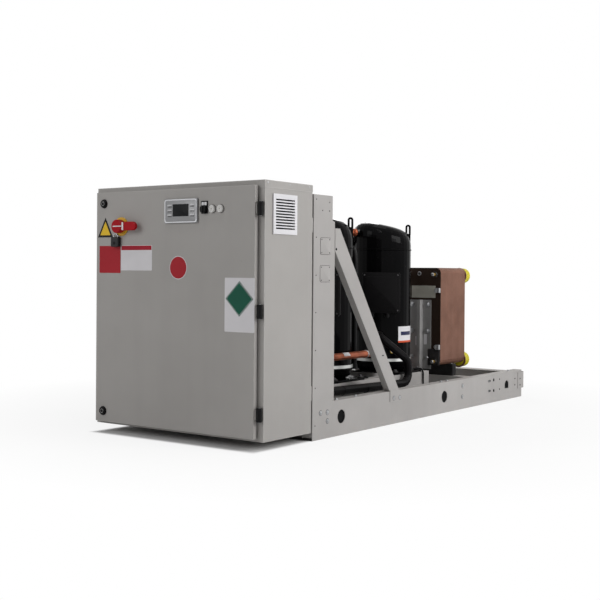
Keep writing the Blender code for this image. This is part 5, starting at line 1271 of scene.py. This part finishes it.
@dataclass
class Compressor:
    """One scroll compressor with its terminal box, feet and tags."""

    label: str
    from_rim: float
    centre_x: float = 0.109
    radius: float = 0.149
    box_turn: float = math.radians(-60.0)
    box_reach: float = 0.0455
    port_turn: float = math.radians(-115.0)
    port_level: float = 0.910
    heater_level: float = 0.2530
    loop_top: float = 0.9547
    foot_plate: float = 0.0103
    foot_spread: tuple[float, float] = (0.150, 0.112)
    belt_turn: float = math.radians(178.0)
    belt_height: float = 0.0145
    loop_turn: float = math.radians(36.0)
    loop_half: float = 0.0088
    loop_in: float = 0.0145
    loop_drop: float = 0.01275
    loop_upright: float = 0.040
    loop_bar: float = 0.0054
    lead_swing: float = math.radians(18.0)
    lead_turn: float = math.radians(-148.0)
    lead_top: float = 0.880
    lead_out: float = 0.0092
    lead_radius: float = 0.0112
    sight_turn: float = math.radians(-39.0)
    sight_level: float = 0.307
    plate_turns: tuple[float, float] = (math.radians(-24.0), math.radians(25.0))
    plate_levels: tuple[float, float] = (0.349, 0.431)

    def wall(self, turn: float, level: float, out: float = 0.0) -> Point:
        """A point on the shell at an angle in plan and a level."""
        reach = self.radius + out
        return (self.centre_x + reach * math.cos(turn), rim(self.from_rim) + reach * math.sin(turn), level)

    def band(self, turns: tuple[float, float], levels: tuple[float, float], low: float, high: float) -> Shape:
        """A curved plate on the shell.

        A grid of angle by level at the outer radius, closed by the same grid at the inner radius.

        Args:
            turns: first and last angle.
            levels: bottom and top.
            low: gap under the plate.
            high: height of its outer face over the shell.

        Returns:
            The shape.
        """
        steps = 20
        turn = np.linspace(turns[0], turns[1], steps)
        rings = []
        for reach, level in ((low, levels[0]), (high, levels[0]), (high, levels[1]), (low, levels[1])):
            rings.append(np.stack([self.centre_x + (self.radius + reach) * np.cos(turn),
                                   rim(self.from_rim) + (self.radius + reach) * np.sin(turn),
                                   np.full(steps, level)], axis=1))
        return Shape().shell(np.array(rings).transpose(1, 0, 2), capped=True)

    def build(self) -> None:
        """Dresses the shell and adds every detail."""
        ENAMEL.dress("compressor_" + self.label)
        BOX_PLASTIC.dress("terminal_box_" + self.label)
        self.build_box()
        self.build_feet()
        self.build_ports()
        self.build_tags()
        self.build_loop()
        self.build_lead()

    def build_loop(self) -> None:
        """Adds the round bar of the lifting loop.

        The bar follows two uprights joined by a half circle, in the loop's own plane.
        """
        turn, radius = self.loop_turn, self.loop_half
        middle, crown = self.radius - self.loop_in, self.loop_top - self.loop_drop
        arc = np.linspace(0.0, math.pi, 15)
        across = np.concatenate([[radius], radius * np.cos(arc), [-radius]]) + middle
        foot = crown - self.loop_upright
        height = np.concatenate([[foot], crown + radius * np.sin(arc), [foot]])
        path = np.stack([self.centre_x + across * math.cos(turn), rim(self.from_rim) + across * math.sin(turn),
                         height], axis=1)
        Shape().tube(path, self.loop_bar, 10).build("lifting_bar_" + self.label, ENAMEL, "base", "black_paint", 50.0)

    def build_lead(self) -> None:
        """Adds the sensor lead clipped down the shell, with a boot at either end."""
        run, out, top = self.lead_turn, self.lead_out, self.lead_top
        swing = self.lead_swing
        points = [self.wall(run + swing, top, 0.004), self.wall(run + swing, top - 0.004, out),
                  self.wall(run + swing / 2, top - 0.022, out), self.wall(run, top - 0.053, out)]
        points += [self.wall(run, level, out) for level in (top - 0.106, 0.600, 0.400, self.heater_level)]
        lead, clips = Shape(), Shape()
        lead.tube(flowing(points, 6), self.lead_radius, 12)
        for level in (0.740, 0.520, 0.320):
            clips.ring(self.wall(run, level, out), UP, self.lead_radius + 0.0005, 0.0010, 22, 6)
        clips.disc(self.wall(run + swing, top, -0.006), outward(run + swing), 0.0160, 0.0, 0.0120, 0.0030, 24)
        clips.disc(self.wall(run, self.heater_level, out), UP, self.lead_radius + 0.0020,
                   -0.0090, 0.0150, 0.0020, 24)
        lead.build("sensor_lead_" + self.label, BLACK_PLASTIC, "base", "black_plastic", 60.0)
        clips.build("lead_clips_" + self.label, BLACK_PLASTIC, "base", "black_plastic")

    def build_box(self) -> None:
        """Adds the lid of the terminal box with its rim, panel, screws and gland."""
        axes = outward(self.box_turn)
        _, _, mid, size = spans(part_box("terminal_box_" + self.label))
        reach = self.radius + self.box_reach
        middle = (self.centre_x + reach * math.cos(self.box_turn),
                  rim(self.from_rim) + reach * math.sin(self.box_turn),
                  mid[2])
        lid, screws, gland = Shape(), Shape(), Shape()
        lid.panel(middle, axes, (0.190, 0.200), 0.008, SEAT, 0.0030, 0.0016)
        lid.panel(middle, axes, (0.160, 0.160), 0.010, 0.0030, 0.0046, 0.0014)
        for dx in (-0.084, 0.084):
            for dz in (-0.089, 0.089):
                at = np.array(middle) + axes[0] * dx + axes[1] * dz
                screws.turned(tuple(at), axes, [(0.0042, 0.0030), (0.0040, 0.0044), (0.0020, 0.0050)], 14)
        floor = np.array(middle) - axes[2] * 0.024 - axes[1] * size[2] / 2
        for dx in (-0.045, 0.030):
            at = tuple(floor + axes[0] * dx)
            gland.nut(at, DOWN, 0.0150, 0.0135, (HAIR, 0.007, 0.0085))
            gland.turned(at, DOWN, [(0.0118, 0.0085), (0.0118, 0.018), (0.009, 0.024)], 18)
        lid.build("terminal_lid_" + self.label, BOX_PLASTIC, "base", "black_plastic")
        screws.build("terminal_screws_" + self.label, DARK_STEEL, "base", "bracket_steel")
        gland.build("terminal_glands_" + self.label, BLACK_PLASTIC, "base", "black_plastic")

    def build_feet(self) -> None:
        """Adds bolts with washers on the foot plate, and the belt heater round the shell."""
        rail_top = float(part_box("compressor_rail_right")[1][2])
        plate_top, pad = rail_top + self.foot_plate, 0.0055
        bolts, grommets = Shape(), Shape()
        half_x, half_y = self.foot_spread
        for x in (-half_x, half_x):
            for y in (-half_y, half_y):
                at = (self.centre_x + x, rim(self.from_rim) + y, plate_top)
                grommets.disc(at, UP, 0.0165, HAIR, pad, 0.0015, 20)
                bolts.bolt((at[0], at[1], plate_top + pad), UP, 0.0185)
        grommets.build("foot_grommets_" + self.label, RUBBER, "base", "foot_rubber")
        bolts.build("foot_bolts_" + self.label, DARK_STEEL, "base", "bracket_steel")
        ends = (-self.belt_turn, self.belt_turn)
        belt = self.band(ends, (self.heater_level, self.heater_level + self.belt_height), 0.0006, 0.0030)
        belt.build("heater_belt_" + self.label, ZINC_SHEET, "base", "zinc_sheet", 60.0)
        buckle = Shape()
        buckle.panel(self.wall(math.pi, self.heater_level + 0.007, 0.003), LEFT, (0.016, 0.026), 0.002, HAIR, 0.006,
                     0.001)
        buckle.build("heater_buckle_" + self.label, ZINC, "base", "zinc_sheet")

    def build_ports(self) -> None:
        """Adds the sight glass and copper collars of the pipe stubs."""
        axes = outward(self.sight_turn)
        at = self.wall(self.sight_turn, self.sight_level)
        ring, nut, glass, copper = (Shape() for _ in range(4))
        nut.nut(at, axes, 0.0155, 0.0140, (0.0, 0.010, 0.012))
        glass.turned(at, axes, [(0.0085, 0.0120), (0.0085, 0.0132), (0.0040, 0.0140)], 20)
        ring.ring(tuple(np.array(at) + axes[2] * 0.0126), axes, 0.0088, 0.0014, 28, 8)
        ring.build("sight_glass_ring_" + self.label, PRINT_YELLOW, "base", "yellow_plastic")
        nut.build("sight_glass_nut_" + self.label, BLACK_PLASTIC, "base", "black_plastic")
        glass.build("sight_glass_" + self.label, PRINT_WHITE, "base", "grey_plastic")
        at = self.wall(self.port_turn, self.port_level, 0.0123)
        copper.turned(at, outward(self.port_turn), [(0.0198, 0.001), (0.0205, 0.004), (0.0205, 0.014),
                                                    (0.0182, 0.018)], 20)
        copper.build("discharge_collar_" + self.label, PIPE_COPPER, "base", "copper_pipe")

    def build_tags(self) -> None:
        """Adds the bare banded plate low on the rear compressor's shell."""
        if self.label != "rear":
            return
        low, high = self.plate_levels
        height = high - low
        self.band(self.plate_turns, (low, high), 0.0006, 0.0011).build("shell_plate_white", PRINT_WHITE, "base",
                                                                      "grey_plastic", 60.0)
        inset = (self.plate_turns[0] + 0.11, self.plate_turns[1] - 0.13)
        self.band(inset, (low + 0.45 * height, low + 0.68 * height), 0.0011, 0.0015).build(
            "shell_plate_blue", PRINT_BLUE, "base", "black_plastic", 60.0)
        self.band(self.plate_turns, (low, low + 0.11 * height), 0.0011, 0.0015).build(
            "shell_plate_orange", PRINT_ORANGE, "base", "red_plastic", 60.0)


@dataclass
class Exchanger:
    """One brazed plate pack with its bracket, studs, plugs and water connections."""

    label: str
    sign: float
    middle_x: float = 0.1455
    bracket_bolts: tuple[tuple[float, float], ...] = ((0.049, 0.534), (0.049, 0.390), (-0.049, 0.534),
                                                      (-0.049, 0.390), (0.049, 0.246), (-0.049, 0.246))
    plug_x: float = 0.0925
    plug_levels: tuple[float, float] = (0.6965, 0.227)
    lug_x: float = 0.1130
    lug_bolt_x: float = 0.0960
    lug_levels: tuple[float, float] = (0.611, 0.305)
    eye_x: float = 0.0055
    stud_x: float = 0.087
    stud_levels: tuple[float, float] = (0.701, 0.227)

    def build(self) -> None:
        """Dresses the pack and adds its details."""
        PACK_COPPER.dress("heat_exchanger_" + self.label)
        BRACKET_STEEL.dress("exchanger_bracket_" + self.label)
        RUBBER.dress("exchanger_foot_" + self.label)
        for height in ("top", "bottom"):
            CAP_PLASTIC.dress("water_cap_%s_%s" % (self.label, height))
        self.build_front()
        self.build_rear()

    def build_front(self) -> None:
        """Adds bolts, the bare nameplate, plugs, studs and the nuts at the pack's edge."""
        face = float(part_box("heat_exchanger_" + self.label)[0][1])
        x = self.sign * self.middle_x
        bolts, brass, steel, plate, white, black = (Shape() for _ in range(6))
        bracket = float(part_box("exchanger_bracket_" + self.label)[1][1]) - 0.004
        for dx, z in self.bracket_bolts:
            steel.disc((x + dx, bracket, z), FRONT, 0.0150, SEAT, 0.0009, 0.0003, 22)
            bolts.bolt((x + dx, bracket - 0.0006, z), FRONT, 0.0190)
        plate.panel((x + 0.0205, face, 0.603), FRONT, (0.146, 0.066), 0.002, SEAT, 0.0016, 0.0005)
        for level in self.lug_levels:
            white.panel((x + self.lug_x, face, level), FRONT, (0.022, 0.026), 0.002, HAIR, 0.016, 0.002)
            bolts.bolt((x + self.lug_bolt_x, face, level), FRONT, 0.015)
        for level in self.plug_levels:
            at = (x + self.plug_x, face, level)
            steel.nut(at, FRONT, 0.0165, 0.0150, (HAIR, 0.010, 0.012))
            brass.turned(at, FRONT, [(0.0090, 0.012), (0.0090, 0.026), (0.0070, 0.028)], 18)
            bolts.nut((at[0], at[1] - 0.028, at[2]), FRONT, 0.0095, 0.0080, (0.0, 0.008, 0.010))
        black.panel((x + 0.0875, face, 0.2500), FRONT, (0.070, 0.088), 0.004, SEAT, 0.010, 0.002)
        eye, top = x - self.eye_x, self.stud_levels[0]
        bolts.ring((eye, face - 0.0012, top), FRONT, 0.0095, 0.0026, 26, 8)
        steel.turned((eye, face, top), FRONT, [(0.0078, HAIR), (0.0078, 0.003), (0.0060, 0.004)], 18)
        for level in self.stud_levels:
            steel.turned((x - self.stud_x, face, level), FRONT,
                         [(0.0225, HAIR), (0.0225, 0.004), (0.0210, 0.005)], 24)
        tags = Shape()
        for dx, level, width, height in ((0.036, 0.345, 0.018, 0.056), (-0.020, 0.335, 0.014, 0.050)):
            tags.panel((x + dx, bracket, level), FRONT, (width, height), 0.002, HAIR, 0.0008)
        bolts.build("exchanger_bolts_" + self.label, ZINC, "base", "zinc_sheet")
        plate.build("exchanger_nameplate_" + self.label, PRINT_GREY, "base", "bracket_steel")
        white.build("exchanger_edge_clips_" + self.label, ZINC, "base", "zinc_sheet")
        brass.build("exchanger_plugs_" + self.label, BRASS, "base", "copper_pipe")
        black.build("exchanger_port_block_" + self.label, RUBBER, "base", "foot_rubber")
        steel.build("exchanger_studs_" + self.label, DARK_STEEL, "base", "bracket_steel")
        tags.build("bracket_tags_" + self.label, PRINT_WHITE, "base", "grey_plastic")

    def build_rear(self) -> None:
        """Adds threaded collars and ribs on the yellow caps and bolts in the foot bar."""
        ribs, collars, bolts = Shape(), Shape(), Shape()
        for height in ("top", "bottom"):
            low, high, mid, size = spans(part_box("water_cap_%s_%s" % (self.label, height)))
            x, z = mid[0], mid[2]
            base, end = low[1], high[1]
            radius = size[0] / 2
            for k in range(4):
                ribs.ring((x, base + 0.012 + 0.010 * k, z), REAR, radius - 0.0002, 0.0011, 28, 6)
            ribs.panel((x, end, z), REAR, (radius * 1.3, 0.007), 0.002, -0.0002, 0.0010, 0.0004)
            collars.turned((x, base, z), REAR, [(radius + 0.0035, 0.0002), (radius + 0.0035, 0.006),
                                                (radius + 0.0020, 0.008)], 28)
        low, high, _, size = spans(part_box("exchanger_foot_" + self.label))
        for dx in (0.035, size[0] - 0.035):
            bolts.bolt((low[0] + dx, high[1], low[2] + 0.045), REAR, 0.014)
        ribs.build("cap_ribs_" + self.label, CAP_PLASTIC, "base", "cap_plastic")
        collars.build("port_collars_" + self.label, PACK_COPPER, "base", "copper_pipe")
        bolts.build("foot_bar_bolts_" + self.label, ZINC, "base", "zinc_sheet")


@dataclass
class Piping:
    """Finishes and small fittings of the pipes."""

    copper_x: float = 0.285
    copper_level: float = 0.315
    copper_radius: float = 0.017
    tag_lifts: tuple[float, float] = (0.0007, 0.0002)
    tag_ends: tuple[float, float] = (0.822, 0.872)
    header_x: float = -0.110
    line_x: float = 0.317
    foam_level: float = 0.168
    line_fall: float = 0.022
    line_start: float = 0.62
    line_run: float = 0.77

    def dress(self) -> None:
        """Gives the pipes their foam, copper and enamel."""
        FOAM.dress("suction_line", "suction_header", "suction_branch")
        PIPE_COPPER.dress("discharge_line", "discharge_branch", "equalising_line", "liquid_line_low",
                          "liquid_line_high")
        DRIER.dress("filter_drier")

    def build(self) -> None:
        """Adds brazed sockets, a bare tag, the drier's bands and the foam ties."""
        silver, tag, ties, clamps = Shape(), Shape(), Shape(), Shape()
        silver.turned((self.copper_x, rim(1.030), self.copper_level), REAR,
                      [(self.copper_radius + 0.0003, 0.0), (0.0192, 0.002), (0.0192, 0.006),
                       (self.copper_radius + 0.0003, 0.008)], 24)
        tag.shell(self.tag_rings())
        low, _, mid, size = spans(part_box("filter_drier"))
        x, z = mid[0], mid[2]
        for share in (0.24, 0.76):
            y = low[1] + share * size[1]
            ties.ring((x, y, z), REAR, 0.0425, 0.0014, 32, 6)
        for along in (0.90, 1.20, 1.50):
            clamps.ring((self.header_x, rim(along), self.foam_level), REAR, 0.0212, 0.0013, 28, 6)
        for along in (0.78, 0.98, 1.18):
            level = self.foam_level - self.line_fall * (along - self.line_start) / self.line_run
            clamps.ring((self.line_x, rim(along), level), REAR, 0.0211, 0.0012, 28, 6)
        self.build_oddments()
        silver.build("brazed_sockets", ZINC, "base", "zinc_sheet")
        tag.build("pipe_tag", PRINT_WHITE, "base", "grey_plastic")
        ties.build("drier_bands", ZINC, "base", "zinc_sheet")
        clamps.build("foam_ties", BLACK_PLASTIC, "base", "black_plastic")

    def tag_rings(self) -> Array:
        """Gives the two end outlines of the bare tag, a thin arc over the copper pipe."""
        turn = np.linspace(math.radians(5.0), math.radians(75.0), 14)
        arcs = [np.stack([self.copper_x + (self.copper_radius + lift) * np.cos(turn), np.zeros(14),
                          self.copper_level + (self.copper_radius + lift) * np.sin(turn)], axis=1)
                for lift in self.tag_lifts]
        section = np.vstack([arcs[0], arcs[1][::-1]])
        rings = np.repeat(section[None, ::-1, :], 2, axis=0)
        rings[:, :, 1] = np.array([rim(along) for along in self.tag_ends])[:, None]
        return rings

    def build_oddments(self) -> None:
        """Adds the lead tied beside the rear foot and the clamp block on the rail's end."""
        lead, block = Shape(), Shape()
        deck = float(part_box("cross_member_middle")[1][2])
        points = [(0.262, rim(1.560), 0.208), (0.281, rim(1.580), 0.207), (0.2905, rim(1.586), 0.190),
                  (0.2910, rim(1.587), 0.160), (0.2912, rim(1.588), deck + 0.001)]
        lead.tube(flowing(points, 6), 0.0042, 10)
        lead.ring((0.2908, rim(1.5868), 0.178), UP, 0.0048, 0.0011, 18, 6)
        lead.disc((0.2912, rim(1.588), deck), UP, 0.0085, HAIR, 0.0045, 0.0015, 20)
        lead.build("foot_lead", BLACK_PLASTIC, "base", "black_plastic", 60.0)
        rail_low, rail_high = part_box("compressor_rail_right")
        x, end, z = float(rail_low[0] + rail_high[0]) / 2, float(rail_high[1]), float(rail_high[2]) - 0.026
        block.panel((x, end, z), REAR, (0.022, 0.040), 0.003, HAIR, 0.022, 0.003)
        block.disc((x, end + 0.012, z + 0.020), UP, 0.0080, 0.0, 0.0050, 0.0015, 20)
        block.build("clamp_block", ZINC, "base", "zinc_sheet")


@dataclass
class Studio:
    """Floor, backdrop, lamps and camera."""

    lens_pixels: float = 1069.69
    image_pixels: float = 600.0
    sensor: float = 36.0
    principal: tuple[float, float] = (293.03, 279.11)
    eye: Point = (3.0097, -4.5126, 0.7061)
    yaw: float = math.radians(35.983)
    pitch: float = math.radians(-0.395)
    roll: float = math.radians(0.419)
    floor_half: float = 30.0
    ambient: float = 0.20

    def build(self) -> None:
        """Sets the whole stage."""
        scene = bpy.context.scene
        scene.view_settings.view_transform = "Standard"
        self.build_floor()
        self.build_world()
        self.build_lamps()
        self.build_camera()

    def build_floor(self) -> None:
        """Adds a wide pale floor that shows white to the camera and keeps the object's shadow."""
        mesh = bpy.data.meshes.new("floor")
        half = self.floor_half
        level = float(CAD_BOX[0][2]) - 0.0005
        mesh.from_pydata([(-half, -half, level), (half, -half, level), (half, half, level), (-half, half, level)], [],
                         [(0, 1, 2, 3)])
        floor = bpy.data.objects.new("floor", mesh)
        bpy.context.scene.collection.objects.link(floor)
        made = bpy.data.materials.new("floor_pale")
        made.use_nodes = True
        graph = Graph(made.node_tree)
        shader = made.node_tree.nodes["Principled BSDF"]
        place = graph.add("ShaderNodeTexCoord").outputs["Object"]
        cloud = graph.group(Effect.MOTTLE, {"Vector": place, "Scale": 1.2})
        colour = graph.mix(cloud.outputs["Broad"], (0.83, 0.83, 0.83, 1.0), (0.80, 0.80, 0.80, 1.0))
        graph.tree.links.new(colour, shader.inputs["Base Color"])
        shader.inputs["Roughness"].default_value = 0.9
        shader.inputs["Specular IOR Level"].default_value = 0.1
        glow = graph.add("ShaderNodeEmission", {"Color": (1.0, 1.0, 1.0, 1.0), "Strength": 1.0})
        path = graph.add("ShaderNodeLightPath")
        away = graph.add("ShaderNodeVectorMath", {0: place}, operation="LENGTH").outputs["Value"]
        share = graph.math("ADD", 0.84, graph.math("MULTIPLY", graph.ramp(away, 1.2, 2.2), 0.16))
        parts = graph.add("ShaderNodeSeparateXYZ", {0: place}).outputs
        beside = graph.math("SUBTRACT", graph.math("ABSOLUTE", parts[0]), SIDE)
        beyond = graph.math("SUBTRACT", graph.math("ABSOLUTE", parts[1]), float(CAD_BOX[1][1]))
        outside = graph.ramp(graph.math("MAXIMUM", beside, beyond), -0.03, 0.0)
        share = graph.math("MULTIPLY", share, outside)
        mirrored = graph.math("MAXIMUM", path.outputs["Is Camera Ray"], path.outputs["Is Glossy Ray"])
        seen = graph.math("MULTIPLY", mirrored, share)
        both = graph.add("ShaderNodeMixShader", {0: seen, 1: shader.outputs[0], 2: glow.outputs[0]})
        out = made.node_tree.nodes["Material Output"]
        graph.tree.links.new(both.outputs[0], out.inputs["Surface"])
        mesh.materials.append(made)

    def build_world(self) -> None:
        """Lights softly from all round and shows white to the camera, gloss and glass."""
        world = bpy.data.worlds.new("studio")
        bpy.context.scene.world = world
        world.use_nodes = True
        graph = Graph(world.node_tree)
        path = graph.add("ShaderNodeLightPath")
        seen = graph.math("MAXIMUM", path.outputs["Is Camera Ray"], path.outputs["Is Transmission Ray"])
        seen = graph.math("MAXIMUM", seen, path.outputs["Is Glossy Ray"])
        strength = graph.math("MAXIMUM", self.ambient, seen)
        back = world.node_tree.nodes["Background"]
        back.inputs["Color"].default_value = (1.0, 1.0, 1.0, 1.0)
        graph.tree.links.new(strength, back.inputs["Strength"])

    def build_lamps(self) -> None:
        """Places large soft lamps on all sides and two narrow strips above that draw lines on what is glossy."""
        for name, at, size, width, power, aim in (
                ("lamp_side", (5.2, 0.6, 2.6), 2.6, 2.6, 181.0, (0.0, 0.1, 0.5)),
                ("lamp_front", (-1.6, -5.0, 2.6), 2.4, 2.4, 58.0, (0.0, -0.6, 0.5)),
                ("lamp_top", (0.4, 0.4, 4.6), 2.0, 2.0, 24.0, (0.0, 0.2, 0.3)),
                ("lamp_rear", (-3.4, 4.2, 3.0), 2.4, 2.4, 75.0, (0.0, 0.4, 0.5)),
                ("strip_right", (1.7, 0.7, 3.3), 1.8, 0.05, 13.0, (0.1, 0.1, 0.9)),
                ("strip_front", (0.3, -1.9, 3.4), 1.8, 0.05, 9.0, (0.1, 0.1, 0.9))):
            lamp = bpy.data.lights.new(name, "AREA")
            lamp.shape = "RECTANGLE"
            lamp.size = size
            lamp.size_y = width
            lamp.energy = power
            obj = bpy.data.objects.new(name, lamp)
            bpy.context.scene.collection.objects.link(obj)
            obj.matrix_world = self.looking(at, aim)

    def looking(self, at: Point, aim: Point) -> Matrix:
        """Matrix of something at a place whose -Z points at an aim."""
        turn = (Vector(aim) - Vector(at)).to_track_quat("-Z", "Y").to_matrix().to_4x4()
        return Matrix.Translation(at) @ turn

    def build_camera(self) -> None:
        """Places the camera that was worked out from the photograph's edges."""
        ahead = np.array([-math.sin(self.yaw) * math.cos(self.pitch), math.cos(self.yaw) * math.cos(self.pitch),
                          math.sin(self.pitch)])
        level = np.array([math.cos(self.yaw), math.sin(self.yaw), 0.0])
        above = np.cross(level, ahead)
        across = math.cos(self.roll) * level + math.sin(self.roll) * above
        upward = -math.sin(self.roll) * level + math.cos(self.roll) * above
        camera = bpy.data.cameras.new("camera")
        camera.sensor_width = self.sensor
        camera.lens = self.lens_pixels * self.sensor / self.image_pixels
        camera.shift_x = (self.image_pixels / 2 - self.principal[0]) / self.image_pixels
        camera.shift_y = (self.principal[1] - self.image_pixels / 2) / self.image_pixels
        camera.clip_end = 200.0
        obj = bpy.data.objects.new("camera", camera)
        bpy.context.scene.collection.objects.link(obj)
        obj.matrix_world = Matrix([(across[k], upward[k], -ahead[k], self.eye[k]) for k in range(3)]
                                  + [(0.0, 0.0, 0.0, 1.0)])
        bpy.context.scene.camera = obj


def main() -> None:
    """Builds the stage and every sub-assembly in order."""
    logging.basicConfig(level=logging.WARNING)
    Studio().build()
    cabinet = Cabinet()
    cabinet.dress()
    cabinet.build()
    Switchgear().build()
    door = Door()
    door.dress()
    door.build()
    fittings = DoorFittings()
    fittings.dress()
    fittings.build()
    Vents().build()
    skid = Skid()
    skid.dress()
    skid.build()
    Compressor("front", 0.915, loop_top=0.9688, lead_turn=math.radians(32.0), lead_top=0.822).build()
    Compressor("rear", 1.4665).build()
    for label, sign in (("right", 1.0), ("left", -1.0)):
        Exchanger(label, sign).build()
    pipes = Piping()
    pipes.dress()
    pipes.build()


if __name__ == "__main__":
    main()
